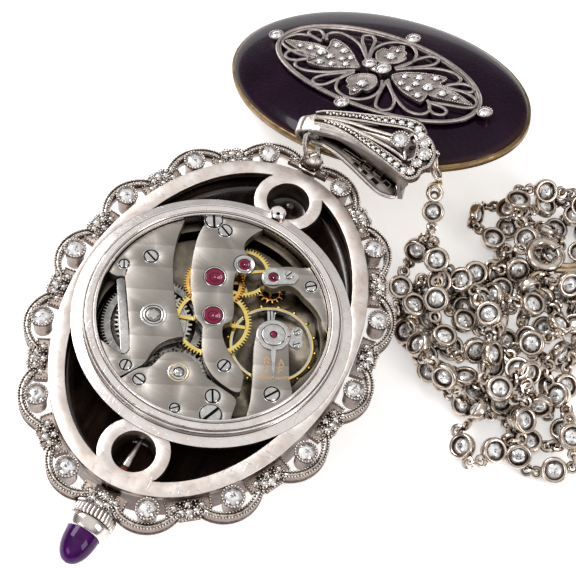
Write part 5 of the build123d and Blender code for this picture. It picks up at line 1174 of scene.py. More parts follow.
    # curl and outer rim of the ornament at the wide end
    ribbon(g, lay([(9.05, 0.10), (9.45, 0.42), (9.92, -0.1), (10.1, -1.15), (9.98, -1.98), (9.5, -2.38)], 0.62), lambda t: [(0.17 * math.cos(a), 0.2 * math.sin(a)) for a in np.linspace(0, 2 * math.pi, 9)[:-1]], 2)
    rim = [(9.6, 0.62), (10.35, 0.55), (11.0, 0.10), (11.5, -0.7), (11.66, -1.6), (11.45, -2.6), (10.86, -3.1), (10.62, -3.85), (10.05, -4.22), (9.4, -3.98)]
    ln = lay(rim, 0.52)
    ribbon(g, ln, lambda t: [(0.13, -0.4), (0.15, 0.22), (0.0, 0.30), (-0.15, 0.22), (-0.13, -0.4)], 0)
    for q in spaced(ln + BW * 0.27, 0.23, False):
        g.bead(q, 0.105, 0)
    for (u, v), r in (((10.62, -0.36), 0.42), ((10.86, -1.52), 0.56), ((10.38, -2.62), 0.34), ((9.98, -3.55), 0.30)):
        c = on_bail(u, v, 0.74)
        g.lathe(c, BW, [(r * 0.7, -0.55), (r + 0.03, -0.10), (r + 0.12, 0.05), (r + 0.08, 0.12), (r - 0.02, 0.08), (r * 0.7, -0.12)], 0, 20)
        for k in range(int(7 + r * 14)):
            a = 2 * math.pi * k / int(7 + r * 14)
            g.bead(c + (BU * math.cos(a) + BV * math.sin(a)) * (r + 0.09) + BW * 0.09, 0.095, 0)
        g.brilliant(c + BW * 0.04, BW, r, 1, RNG.random() * 6, 0.85)
    # back leaf: bright lower edge, and sawn pockets whose floors are near-black painted shade
    bk = [(1.09, -0.40), (2.4, -0.88), (4.01, -1.80), (5.6, -2.86), (7.14, -3.78), (8.25, -3.88), (8.66, -3.6), (8.78, -3.15), (8.62, -2.65)]
    ln = np.array([on_back(u, v, 0.20) for u, v in spline(bk, 8)])
    ribbon(g, ln, lambda t: [(0.15 * math.cos(a), 0.17 * math.sin(a)) for a in np.linspace(0, 2 * math.pi, 9)[:-1]], 2)
    for u0, v0, u1, v1, wd in ((3.0, -0.35, 4.9, -1.15, 0.15), (5.2, -1.25, 5.9, -1.62, 0.17), (4.3, -1.42, 4.8, -1.72, 0.20), (5.2, -1.98, 5.75, -2.32, 0.22), (6.2, -2.55, 6.9, -3.0, 0.25), (6.3, -1.7, 7.0, -2.05, 0.2), (7.35, -2.55, 7.95, -2.9, 0.25)):
        a, b = np.array((u0, v0)), np.array((u1, v1))
        t = (b - a) / np.linalg.norm(b - a)
        n2 = np.array((-t[1], t[0]))
        out = [a - n2 * wd, b - n2 * wd, b + n2 * wd, a + n2 * wd]
        for hh, mat, grow in ((0.215, 3, 1.0),):
            v = [on_back(*(p), hh) for p in out]
            g.add(v, [(0, 1, 2, 3)], mat)
        ring = np.array([on_back(p[0], p[1], 0.22) for p in out])
        g.tube(np.array([ring[0], (ring[0] + ring[1]) / 2, ring[1], ring[2], (ring[2] + ring[3]) / 2, ring[3]]), 0.055, 2, True, 6)
    # eye for the chain's end ring
    g.torus(on_bail(11.62, -0.9, 0.20), BV, 0.36, 0.13, 2, 18, 8)
    return g.build("bail_ornament", ["plat", "diamond", "bail_bright", "pocket", "bail_satin"], "bail", ("bail_stones",))


M["bail_bright"] = metal("bail_polished", (0.70, 0.62, 0.57), (0.93, 0.87, 0.83), 0.12, 0.26, 1.0, 8.0, 0.15, 0.5, (0.06, 0.04, 0.03), 0.15, 0.6)
# painted shade: near-black for the floors of the sawn pockets
M["pocket"] = metal("pocket_dark", (0.012, 0.008, 0.006), (0.035, 0.024, 0.018), 0.4, 0.6, 1.4, 8.0)
M["bail_satin"] = metal("bail_satin", (0.30, 0.265, 0.245), (0.50, 0.455, 0.425), 0.26, 0.42, 0.8, 7.0, 0.4, 0.5, (0.05, 0.035, 0.03), 0.2, 0.8)
assign(N["bail_frame"], M["bail_satin"])
bail_work()


def knob_work():
    """Fluted knob under the bow, with the small cross lug that carries it."""
    g = Geo()
    c = np.array((-0.02, 19.5, 7.36))
    ax = unit((-0.06, 0.26, 0.96))
    x, y, z = frame_of(ax, (1, 0, 0))
    seg, rows = 72, 18
    v = []
    for i in range(rows + 1):
        th = math.pi * (0.04 + 0.80 * i / rows)
        for j in range(seg):
            a = 2 * math.pi * j / seg
            r = 0.98 * (1 - 0.05 * (0.5 + 0.5 * math.cos(a * 24)) * math.sin(th) ** 0.5)
            v.append(c + (x * math.cos(a) + y * math.sin(a)) * r * math.sin(th) + z * r * math.cos(th))
    f = []
    for i in range(rows):
        for j in range(seg):
            f.append((i * seg + j, (i + 1) * seg + j, (i + 1) * seg + (j + 1) % seg, i * seg + (j + 1) % seg))
    f.append(tuple(range(seg)))
    f.append(tuple(reversed(range(rows * seg, (rows + 1) * seg))))
    g.add(v, f, 0)
    top = c + z * 0.90
    g.lathe(top, z, [(0.0, -0.2), (0.34, -0.05), (0.30, 0.04), (0.20, 0.09), (0.0, 0.11)], 1, 20)
    lug = np.array((-0.15, 19.62, 8.16))
    b = unit((0.6094, 0.7929, 0.0))
    g.lathe(lug, b, [(0.0, -0.36), (0.20, -0.36), (0.27, -0.30), (0.27, 0.30), (0.20, 0.36), (0.0, 0.36)], 1, 20)
    return g.build("knob_fluted", ["plat", "bail_bright"], "case", ("pendant_knob",))


knob_work()


def drop_links():
    """Rings between the bail and the drop: heavy toned wire, the middle link of yellow gold."""
    g = Geo()
    g.torus((11.68, 20.3, 10.15), (0.50, -0.35, 0.79), 0.66, 0.23, 0, 28, 10)
    g.torus((11.45, 20.75, 10.75), (-0.62, 0.45, 0.64), 0.52, 0.21, 1, 24, 9)
    g.torus((12.85, 18.25, 7.0), (0.8, 0.5, -0.2), 0.60, 0.19, 0, 26, 9)
    g.build("drop_links", ["chain", "pale_gold"], "case", ("drop_rings",))
    h = Geo()
    h.torus((11.05, 21.35, 11.6), (0.62, 0.42, 0.66), 0.70, 0.22, 0, 30, 10)
    # long link from the eye of the bail
    eye = on_bail(11.62, -0.9, 0.20)
    d = unit(np.array((11.05, 21.35, 11.6)) - eye)
    h.torus(eye + d * 0.97, np.cross(d, BV), 0.42, 0.17, 0, 30, 9, d, 2.32)
    h.build("bail_end_ring", ["chain"], "bail", ("bail_ring",))


drop_links()


# ------------------------------------------------------------------ movement: finer wheels, screws, jewels, marks
BR_TOP = 8.45
C_BARREL, C_CENTRE, C_THIRD, C_FOURTH, C_ESC, C_BAL, C_CROWNW = (-4.42, -2.53), (0.0, 0.0), (-1.67, 3.42), (-0.02, 5.84), (2.80, 5.91), (5.40, 0.85), (0.07, -6.23)


def gem_deep(name, deep, mid, light, facing_sheen=0.45, spec=0.28):
    m, nt, b = mat_new(name)
    b.inputs["Roughness"].default_value = 0.05
    b.inputs["IOR"].default_value = 1.6
    b.inputs["Specular IOR Level"].default_value = spec
    b.inputs["Coat Weight"].default_value = 0.12
    b.inputs["Coat Roughness"].default_value = 0.03
    b.inputs["Coat IOR"].default_value = 1.5
    n = noise(nt, coords(nt), 0.9, 3.0, 0.6)
    # painted sheen: the colour turns towards the last tint where the Layer Weight facing term rises towards the outline
    lw = node(nt, "ShaderNodeLayerWeight")
    lw.inputs["Blend"].default_value = 0.30
    col = mixc(nt, math2(nt, "MULTIPLY", lw.outputs["Facing"], facing_sheen), ramp(nt, n, [(0.30, deep), (0.72, mid)]), light)
    nt.links.new(col, b.inputs["Base Color"])
    return m


M["ruby"] = gem_deep("ruby_deep", (0.13, 0.0008, 0.022), (0.25, 0.002, 0.052), (0.30, 0.006, 0.09), 0.4)
# painted shade: near-black red for the dark rim and inner ring of each jewel
M["ruby_rim_shade"] = gem_deep("ruby_rim_shade", (0.035, 0.0005, 0.008), (0.085, 0.001, 0.018), (0.12, 0.004, 0.03), 0.3)
# painted highlight: bright red for a crescent of light on each jewel
M["ruby_highlight"] = gem_deep("ruby_highlight", (0.42, 0.008, 0.10), (0.62, 0.03, 0.20), (0.7, 0.08, 0.26), 0.4)
M["amethyst"] = gem_deep("amethyst_deep", (0.014, 0.0002, 0.026), (0.066, 0.0004, 0.108), (0.11, 0.002, 0.17), 0.35, 0.15)
# near-black, used as painted shade in screw slots, countersinks and the gaps round rings and settings
M["black"] = metal("slot_black", (0.008, 0.007, 0.006), (0.020, 0.017, 0.015), 0.4, 0.6, 2.0, 9.0)
M["gear_light"] = metal("gear_light", (0.36, 0.35, 0.335), (0.66, 0.645, 0.62), 0.16, 0.34, 1.2, 8.0, 0.2, 0.1, (0.02, 0.018, 0.016), 0.2, 0.3)
M["barrel_steel"] = metal("barrel_steel", (0.20, 0.185, 0.165), (0.40, 0.375, 0.34), 0.22, 0.40, 1.1, 10.0, 0.3, 0.2, (0.02, 0.016, 0.012), 0.2, 0.5)
M["yellow"] = metal("wheel_gilt", (0.90, 0.64, 0.13), (1.0, 0.86, 0.34), 0.14, 0.30, 1.4, 10.0, 0.15, 0.7, (0.20, 0.10, 0.01), 0.12, 0.22)
M["orange"] = metal("wheel_rose_gilt", (0.80, 0.42, 0.07), (1.0, 0.64, 0.18), 0.16, 0.32, 1.4, 10.0, 0.15, 0.7, (0.16, 0.07, 0.01), 0.12, 0.22)
M["mark"] = metal("mark_gilt", (0.74, 0.40, 0.15), (0.88, 0.52, 0.24), 0.35, 0.55, 3.0, 9.0)
M["ring_polish"] = metal("ring_polish", (0.84, 0.765, 0.73), (1.0, 0.965, 0.945), 0.08, 0.20, 0.7, 8.0, 0.35, 1.2, (0.12, 0.075, 0.06), 0.2, 0.35)
M["groove"] = metal("ring_groove", (0.09, 0.055, 0.045), (0.20, 0.13, 0.11), 0.3, 0.5, 1.5, 8.0)
assign(N["barrel"], M["barrel_steel"])
for nn in ("fourth_wheel", "escape_wheel"):
    assign(N[nn], M["orange"])


C_FOURTH = (-0.02, 5.84)


def ring_teeth(g, c, rp, n, z0, z1, phase, mat, rim=0.3, wroot=0.54, wtip=0.20, add=1.0, ded=1.25, spokes=0, spoke_w=0.3, spoke_a=0.0, hub=0.5, face=0):
    m = 2 * rp / n
    ra, rr = rp + add * m, rp - ded * m
    ri = rr - rim
    step = 2 * math.pi / n
    prof = []
    for i in range(n):
        a = math.radians(phase) + i * step
        for da, r in ((-wroot / 2, rr), (-wroot * 0.34, rp), (-wtip / 2, ra), (wtip / 2, ra), (wroot * 0.34, rp), (wroot / 2, rr)):
            prof.append((a + da * step, r))
    k = len(prof)
    v = []
    for zz, inner in ((z0, False), (z1, False), (z1, True), (z0, True)):
        for a, r in prof:
            q = ri if inner else r
            v.append((c[0] + q * math.cos(a), c[1] + q * math.sin(a), zz))
    f = []
    for j in range(k):
        i = (j + 1) % k
        f += [(j, i, k + i, k + j), (k + j, k + i, 2 * k + i, 2 * k + j), (2 * k + j, 2 * k + i, 3 * k + i, 3 * k + j), (3 * k + j, 3 * k + i, i, j)]
    g.add(v, f, mat, False)
    if spokes:
        w = spoke_w / 2
        for q in range(spokes):
            a = math.radians(spoke_a) + 2 * math.pi * q / spokes
            e, s = np.array((math.cos(a), math.sin(a))), np.array((-math.sin(a), math.cos(a)))
            p = [e * hub * 0.5 - s * w * 1.25, e * (ri + 0.04) - s * w * 0.85, e * (ri + 0.04) + s * w * 0.85, e * hub * 0.5 + s * w * 1.25]
            vv = [(c[0] + t[0], c[1] + t[1], zz) for zz in (z0, z1) for t in p]
            g.add(vv, [(3, 2, 1, 0), (4, 5, 6, 7), (0, 1, 5, 4), (1, 2, 6, 5), (2, 3, 7, 6), (3, 0, 4, 7)], mat, False)
        g.lathe((c[0], c[1], 0.0), (0, 0, 1), [(0.09, z0), (hub - 0.04, z0), (hub, z0 + 0.02), (hub, z1 - 0.01), (hub - 0.03, z1 + 0.01), (hub * 0.55, z1 + 0.015), (hub * 0.5, z1 + 0.03), (0.09, z1 + 0.03)], face, 28, (1, 0, 0), False, False)


def angle_to(a, b):
    return math.degrees(math.atan2(b[1] - a[1], b[0] - a[0]))


def gap(a, b):
    return math.hypot(b[0] - a[0], b[1] - a[1])


def arbor_of(g, c, z0, z1, r, pr, mat):
    g.lathe((c[0], c[1], 0.0), (0, 0, 1), [(0.0, z0), (pr, z0), (pr, z0 + 0.5), (r, z0 + 0.5), (r, z1 - 0.9), (pr, z1 - 0.85), (pr, z1 - 0.03), (pr * 0.5, z1), (0.0, z1)], mat, 16)




def outward(o):
    """Turn the faces of every closed shell outwards."""
    b = bmesh.new()
    b.from_mesh(o.data)
    bmesh.ops.recalc_face_normals(b, faces=b.faces)
    b.to_mesh(o.data)
    b.free()
    o.data.set_sharp_from_angle(angle=math.radians(40))


g = Geo()
rp = gap(C_BARREL, C_CROWNW) * 44 / 80
ring_teeth(g, C_BARREL, rp, 44, 6.85, 7.075, angle_to(C_BARREL, C_CROWNW), 0, 2.3, 0.58, 0.22)
for r in (2.85, 2.2, 1.5):
    g.torus((C_BARREL[0], C_BARREL[1], 7.07), (0, 0, 1), r, 0.02, 1, 60, 6)
outward(g.build("ratchet_teeth", ["gear_light", "black"], "ratchet", ("ratchet_wheel",)))

g = Geo()
rp = gap(C_CENTRE, C_THIRD) * 70 / 80
ring_teeth(g, C_CENTRE, rp, 70, 7.11, 7.225, angle_to(C_CENTRE, C_THIRD), 0, 0.30, 0.50, 0.18, 1.05, 1.5, 4, 0.34, 19.0, 0.62, 1)
rp = gap(C_BARREL, C_CENTRE) * 10 / 100
ring_teeth(g, C_CENTRE, rp, 10, 6.2, 6.78, angle_to(C_CENTRE, C_BARREL) + 18.0, 1, rp * 0.55, 0.55, 0.2, 0.95, 1.15)
g.lathe((0, 0, 0), (0, 0, 1), [(0.0, 3.25), (0.29, 3.25), (0.30, 5.9), (0.24, 6.1), (0.24, 7.35), (0.30, 7.40), (0.095, 7.45), (0.095, 8.28), (0.05, 8.30), (0.0, 8.30)], 1, 20)
outward(g.build("centre_wheel_fine", ["yellow", "steel"], "centre_wheel", ("centre_wheel",)))

g = Geo()
rp = gap(C_THIRD, C_FOURTH) * 60 / 68
ring_teeth(g, C_THIRD, rp, 60, 7.26, 7.375, angle_to(C_THIRD, C_FOURTH), 0, 0.26, 0.50, 0.18, 1.05, 1.5, 5, 0.28, 30.0, 0.5, 1)
rp = gap(C_CENTRE, C_THIRD) * 10 / 80
ring_teeth(g, C_THIRD, rp, 10, 6.72, 7.25, angle_to(C_THIRD, C_CENTRE) + 18.0, 1, rp * 0.5, 0.55, 0.2, 0.95, 1.15)
arbor_of(g, C_THIRD, 5.1, 8.3, 0.2, 0.095, 1)
outward(g.build("third_wheel_fine", ["orange", "steel"], "third_wheel", ("third_wheel",)))

# balance: brass outside, steel inside, two flat polished arms
g = Geo()
cb = (C_BAL[0], C_BAL[1], 0.0)
g.lathe(cb, (0, 0, 1), [(3.52, 6.46), (3.64, 6.46), (3.67, 6.49), (3.67, 6.77), (3.64, 6.80), (3.52, 6.80)], 0, 96)
g.lathe(cb, (0, 0, 1), [(3.385, 6.47), (3.52, 6.47), (3.52, 6.785), (3.40, 6.785), (3.385, 6.77)], 1, 96)
for s in (0, 1):
    a = math.radians(119 + 180 * s)
    e, sd = np.array((math.cos(a), math.sin(a))), np.array((-math.sin(a), math.cos(a)))
    for lo, hi, z0, z1, mt in ((-0.275, 0.275, 6.50, 6.655, 1), (-0.05, 0.05, 6.64, 6.662, 2)):
        p = [e * 0.3 + sd * lo, e * 3.42 + sd * lo * 0.9, e * 3.42 + sd * hi * 0.9, e * 0.3 + sd * hi]
        vv = [(cb[0] + t[0], cb[1] + t[1], zz) for zz in (z0, z1) for t in p]
        g.add(vv, [(3, 2, 1, 0), (4, 5, 6, 7), (0, 1, 5, 4), (1, 2, 6, 5), (2, 3, 7, 6), (3, 0, 4, 7)], mt, False)
g.lathe(cb, (0, 0, 1), [(0.0, 5.55), (0.08, 5.55), (0.09, 5.9), (0.36, 5.98), (0.36, 6.12), (0.15, 6.14), (0.15, 6.48), (0.42, 6.50), (0.42, 6.68), (0.22, 6.72), (0.22, 7.25), (0.09, 7.30), (0.09, 8.15), (0.0, 8.2)], 1, 24)
outward(g.build("balance_rim", ["yellow", "steel", "black"], "balance", ("balance_wheel",)))

RGT, DWN = np.array((0.8905, 0.4549)), np.array((0.4549, -0.8905))


def screw_head(g, x, y, r, ztop, d, seat=None, deep=0.42):
    """Chamfered, polished head in two halves with an open slot, and the countersink round it; the slot's floor and a
    ring in the countersink are near-black painted shade.
    """
    t = RGT * d[0] / 71.0 + DWN * d[1] / 66.0
    a0 = math.atan2(t[1], t[0])
    w = 0.155 * r
    for s in (0, 1):
        base = a0 + math.pi * s
        cols = []
        for rr, zz in ((r, ztop - deep), (r, ztop - 0.055), (r - 0.055, ztop)):
            de = math.asin(w / rr)
            arc = np.linspace(base + de, base + math.pi - de, 17)
            cols.append([(x + rr * math.cos(a), y + rr * math.sin(a), zz) for a in arc])
        k = 17
        v = cols[0] + cols[1] + cols[2]
        f = []
        for i in range(2):
            for j in range(k - 1):
                f.append((i * k + j, i * k + j + 1, (i + 1) * k + j + 1, (i + 1) * k + j))
        f.append(tuple(range(2 * k, 3 * k)))
        n0 = len(v)
        v += [(cols[2][0][0], cols[2][0][1], ztop - 0.22), (cols[2][-1][0], cols[2][-1][1], ztop - 0.22)]
        f.append((2 * k, 3 * k - 1, n0 + 1, n0))
        g.add(v, f, 0, False)
    e, sd = np.array((math.cos(a0), math.sin(a0))), np.array((-math.sin(a0), math.cos(a0)))
    q = [e * -r + sd * -w * 1.3, e * r + sd * -w * 1.3, e * r + sd * w * 1.3, e * -r + sd * w * 1.3]
    # painted shade: a near-black floor in the slot
    g.add([(x + p[0] * 0.985, y + p[1] * 0.985, ztop - 0.17) for p in q], [(0, 1, 2, 3)], 1, False)
    if seat is not None:
        # painted shade: a near-black ring in the countersink
        g.lathe((x, y, seat), (0, 0, 1), [(r - 0.01, 0.004), (r + 0.10, 0.006), (r + 0.10, -0.05), (r - 0.01, -0.05)], 1, 36, (0, 0, 1), True, False)
        g.lathe((x, y, seat), (0, 0, 1), [(r + 0.095, -0.03), (r + 0.10, 0.014), (r + 0.135, 0.018), (r + 0.155, 0.0), (r + 0.155, -0.03)], 0, 36, (0, 0, 1), True, False)


g = Geo()
for (x, y, r), d in zip([(-7.47, 2.41, .62), (-9.11, .57, .45), (-4.1, -7.84, .5), (-3.14, 8.03, .62), (3.08, -3.78, .55), (3.59, -6.76, .62), (-2.47, -8.43, .52), (1.37, -9.26, .42), (7.8, -4.12, .66), (6.04, 6.82, .5)],
                        [(45, 47), (2, 45), (18, -45), (40, 50), (30, -38), (3, 60), (40, 28), (40, -12), (55, -32), (50, -12)]):
    screw_head(g, x, y, r - 0.04, 8.50, d, BR_TOP)
for x, y, r, zt, d in ((3.91, 6.78, .38, 8.79, (35, -30)), (7.01, 2.17, .30, 8.70, (30, -20)), (7.53, 1.02, .30, 8.70, (35, -10))):
    screw_head(g, x, y, r, zt, d, None, 0.2)
outward(g.build("bridge_screw_heads", ["steel", "black"], "case", ("bridge_screws",)))
g = Geo()
screw_head(g, -4.49, 8.45, 0.72, 8.61, (4, 60), BR_TOP, 0.5)
screw_head(g, 4.26, -8.36, 0.88, 8.61, (80, -68), BR_TOP, 0.5)
outward(g.build("case_screw_heads", ["steel", "black"], "case", ("case_screws",)))

# fourth wheel: bold pointed teeth and four thin arms over its pinion
g = Geo()
ring_teeth(g, C_FOURTH, 2.42, 54, 6.88, 7.00, 3.0, 0, 0.26, 0.50, 0.18, 1.15, 1.35, 4, 0.26, 35.0, 0.36, 0)
ring_teeth(g, C_FOURTH, 0.345, 8, 7.02, 7.36, 0.0, 1, 0.12, 0.5, 0.2)
g.lathe((C_FOURTH[0], C_FOURTH[1], 0.0), (0, 0, 1), [(0.0, 6.0), (0.20, 6.0), (0.20, 7.45), (0.09, 7.5), (0.09, 8.2), (0.0, 8.2)], 2, 20, (1, 0, 0), True)
outward(g.build("fourth_wheel_fine", ["yellow", "orange", "steel"], "fourth_wheel", ("fourth_wheel",)))
# toothed edge of the barrel
g = Geo()
ring_teeth(g, C_BARREL, 4.36, 92, 6.60, 6.80, 0.0, 0, 0.55, 0.46, 0.20, 1.15, 1.4)
outward(g.build("barrel_teeth", ["gear"], "barrel"))

# jewels in polished settings
g = Geo()
for x, y, rj, rs in ((0.0, 0.0, .86, .97), (-1.67, 3.42, .88, 1.0), (-0.02, 5.84, .55, .93), (2.80, 5.91, .46, .74)):
    zt = BR_TOP + (0.0 if rj != 0.46 else 0.10)
    g.lathe((x, y, zt), (0, 0, 1), [(rj * 0.88, -0.5), (rj * 0.88, 0.0), (rj * 0.80, 0.010), (rj * 0.70, 0.0), (rj * 0.60, -0.03), (rj * 0.40, -0.10), (0.155, -0.14), (0.125, -0.145), (0.12, -0.45)], 0, 44)
    # painted shade: a near-black red annulus round the jewel's edge and a dark ring inside it
    g.lathe((x, y, zt), (0, 0, 1), [(rj * 1.0, -0.5), (rj * 1.0, -0.08), (rj * 0.96, -0.02), (rj * 0.88, 0.0), (rj * 0.88, -0.4)], 4, 44)
    g.torus((x, y, zt - 0.05), (0, 0, 1), rj * 0.52, 0.035, 4, 40, 6)
    # painted highlight: a bright red crescent over part of the jewel
    g.torus((x, y, zt - 0.035), (0, 0, 1), rj * 0.62, 0.045, 5, 40, 6, (1, 0, 0), 1.0, math.radians(200), math.radians(340))
    if rj > 0.5:
        if rs - rj > 0.2:
            g.lathe((x, y, zt), (0, 0, 1), [(rj + 0.0, -0.10), (rj + 0.02, 0.01), (rj + 0.05, 0.025), (rj + 0.13, -0.03), (rj + 0.20, 0.00), (rj + 0.27, 0.03), (rs - 0.03, 0.035), (rs + 0.01, 0.0), (rs + 0.01, -0.25)], 1, 44)
            # painted shade: a near-black ring round the setting
            g.lathe((x, y, zt), (0, 0, 1), [(rs + 0.01, 0.004), (rs + 0.07, 0.008), (rs + 0.07, -0.05)], 2, 44)
        else:
            g.lathe((x, y, zt), (0, 0, 1), [(rj - 0.005, -0.09), (rj + 0.01, -0.005), (rj + 0.045, 0.022), (rs - 0.025, 0.022), (rs, 0.0), (rs, -0.2)], 1, 44)
            # painted shade: a near-black ring round the setting
            g.lathe((x, y, zt), (0, 0, 1), [(rs, 0.006), (rs + 0.035, 0.008), (rs + 0.035, -0.05)], 2, 44)
    else:
        g.lathe((x, y, BR_TOP + 0.17), (0, 0, 1), [(rj + 0.0, -0.10), (rj + 0.02, 0.01), (rj + 0.06, 0.02), (rj + 0.09, 0.0), (rj + 0.09, -0.1)], 1, 40)
    g.bead((x, y, zt - 0.10), 0.10, 1, None, 1.0, False)
# end stone of the balance in its flat polished cap
g.lathe((C_BAL[0], C_BAL[1], BR_TOP), (0, 0, 1), [(0.27, 0.0), (0.27, 0.20), (0.22, 0.255), (0.12, 0.275), (0.0, 0.28)], 0, 28)
g.lathe((C_BAL[0], C_BAL[1], BR_TOP), (0, 0, 1), [(0.27, 0.20), (0.30, 0.235), (0.335, 0.235), (0.35, 0.218)], 2, 28)
for s in (-1, 1):
    p = np.array(C_BAL) + RGT * 0.60 * s + DWN * -0.08
    g.bead((p[0], p[1], BR_TOP + 0.235), 0.10, 1, None, 0.5)
# steel core of the crown wheel: polished steps, the innermost tinted gold
g.lathe((C_CROWNW[0], C_CROWNW[1], BR_TOP), (0, 0, 1), [(0.90, -0.03), (0.90, 0.025), (0.84, 0.045), (0.76, 0.04), (0.70, -0.01)], 3, 44)
g.lathe((C_CROWNW[0], C_CROWNW[1], BR_TOP), (0, 0, 1), [(0.70, -0.01), (0.66, 0.035), (0.50, 0.045), (0.46, 0.0), (0.44, -0.05)], 1, 44)
g.lathe((C_CROWNW[0], C_CROWNW[1], BR_TOP), (0, 0, 1), [(0.44, -0.05), (0.40, -0.04), (0.36, 0.06), (0.30, 0.10), (0.17, 0.105), (0.13, 0.06)], 1, 36)
# painted shade: a near-black ring in the step
g.lathe((C_CROWNW[0], C_CROWNW[1], BR_TOP), (0, 0, 1), [(0.44, -0.045), (0.37, -0.04)], 2, 36)
g.lathe((C_CROWNW[0], C_CROWNW[1], BR_TOP), (0, 0, 1), [(0.135, 0.085), (0.10, 0.10), (0.0, 0.11)], 1, 20)
outward(g.build("jewel_settings", ["ruby", "steel", "black", "pale_gold", "ruby_rim_shade", "ruby_highlight"], "case", ("jewels", "chatons")))

# squared end of the barrel arbor inside two rings
g = Geo()
cb = (C_BARREL[0], C_BARREL[1], BR_TOP)
g.lathe(cb, (0, 0, 1), [(0.925, -0.05), (0.935, 0.030), (0.97, 0.045), (1.07, 0.045), (1.12, 0.025), (1.13, -0.02)], 0, 52)
# painted shade: near-black rings in the gaps beside the two rings
g.lathe(cb, (0, 0, 1), [(0.885, 0.006), (0.93, 0.006), (0.93, -0.05), (0.885, -0.05)], 1, 52)
g.lathe(cb, (0, 0, 1), [(0.70, -0.05), (0.71, 0.03), (0.74, 0.045), (0.84, 0.045), (0.875, 0.025), (0.885, -0.05)], 0, 52)
g.lathe(cb, (0, 0, 1), [(0.62, 0.005), (0.70, 0.005), (0.70, -0.05), (0.62, -0.05)], 1, 52)
g.lathe(cb, (0, 0, 1), [(0.62, -0.02), (0.62, 0.03), (0.59, 0.045), (0.0, 0.045)], 2, 52)
a0 = math.atan2(DWN[1], DWN[0])
# the first, wider square is near-black painted shade round the foot of the steel square
for w, z0, z1, mat in ((0.575, 0.030, 0.050, 1), (0.535, 0.04, 0.12, 0)):
    lo = [(cb[0] + w * math.cos(a0 + k * math.pi / 2), cb[1] + w * math.sin(a0 + k * math.pi / 2), BR_TOP + z0) for k in range(4)]
    hi = [(cb[0] + w * 0.95 * math.cos(a0 + k * math.pi / 2), cb[1] + w * 0.95 * math.sin(a0 + k * math.pi / 2), BR_TOP + z1) for k in range(4)]
    tp = [(cb[0], cb[1], BR_TOP + z1 + (0.05 if mat == 0 else 0.0))]
    g.add(lo + hi + tp, [(k, (k + 1) % 4, 4 + (k + 1) % 4, 4 + k) for k in range(4)] + [(4 + k, 4 + (k + 1) % 4, 8) for k in range(4)], mat, False)
outward(g.build("arbor_square", ["steel", "black", "barrel_steel"], "ratchet"))

# timing marks on the balance cock: two letter pairs and the scale under the index
g = Geo()


def mark(pts, w=0.045):
    ln = [np.array(C_BAL) + RGT * p[0] + DWN * p[1] for p in pts]
    for p, q in zip(ln[:-1], ln[1:]):
        t = (q - p) / np.linalg.norm(q - p)
        n2 = np.array((-t[1], t[0])) * w
        p, q = p - t * w * 0.6, q + t * w * 0.6
        c4 = [p - n2, q - n2, q + n2, p + n2]
        g.add([(c[0], c[1], BR_TOP + 0.006) for c in c4] + [(c[0], c[1], BR_TOP - 0.01) for c in c4], [(0, 1, 2, 3), (0, 4, 5, 1), (1, 5, 6, 2), (2, 6, 7, 3), (3, 7, 4, 0)], 0, False)


def glyph(strokes, cx, cy, w, h):
    for s in strokes:
        mark([(cx + x * w, cy + y * h) for x, y in s], 0.036)


glyph([[(-.5, .5), (-.5, -.5), (.2, -.5), (.45, -.28), (.2, -.02), (-.5, 0)], [(-.05, 0), (.5, .5)]], -0.55, 2.42, 0.42, 0.60)
glyph([[(-.5, .5), (0, -.5), (.5, .5)], [(-.28, .15), (.28, .15)]], 0.66, 2.50, 0.42, 0.60)
glyph([[(.45, -.38), (.1, -.5), (-.4, -.38), (-.4, -.1), (.3, .1), (.42, .36), (0, .5), (-.5, .38)]], -0.58, 3.22, 0.38, 0.60)
glyph([[(-.4, .5), (-.4, -.5), (.45, -.5)], [(-.4, 0), (.25, 0)]], 0.60, 3.26, 0.38, 0.60)
arc = [(1.36 * math.sin(a), 3.02 + 0.93 * math.cos(a) - 0.02) for a in np.linspace(-1.15, 1.15, 15)]
arc = [(-1.30 + 2.6 * k / 14.0, 3.80 + 0.16 * math.cos((k - 7) / 7.0 * 1.3)) for k in range(15)]
mark(arc, 0.028)
for k in range(15):
    x, y = arc[k]
    mark([(x, y), (x * 1.01, y + (0.30 if k % 7 == 0 else 0.20))], 0.026)
outward(g.build("timing_marks", ["mark"], "case"))

# stepped polished lips of the movement ring
g = Geo()
g.lathe((0, 0, 0), (0, 0, 1), [(9.955, 8.40), (9.955, 8.79), (10.00, 8.845), (10.12, 8.85), (10.17, 8.80), (10.19, 8.785), (10.28, 8.785), (10.31, 8.80), (10.36, 8.88), (10.60, 8.895), (10.84, 8.875), (10.90, 8.80), (10.91, 8.66),
                               (10.97, 8.63), (11.02, 8.68), (11.10, 8.68), (11.16, 8.60), (11.17, 8.14), (11.22, 8.05), (11.30, 8.035), (11.34, 8.015), (11.34, 7.9)], 0, 160)
# painted shade: dark brown tubes in the creases between the lips
for r, z in ((10.235, 8.787), (10.95, 8.635), (11.19, 8.10)):
    g.torus((0, 0, z), (0, 0, 1), r, 0.028, 1, 160, 6)
outward(g.build("ring_lips", ["ring_polish", "groove"], "case"))


# ------------------------------------------------------------------ crown, stem and dial side
STEM_Z = 6.1


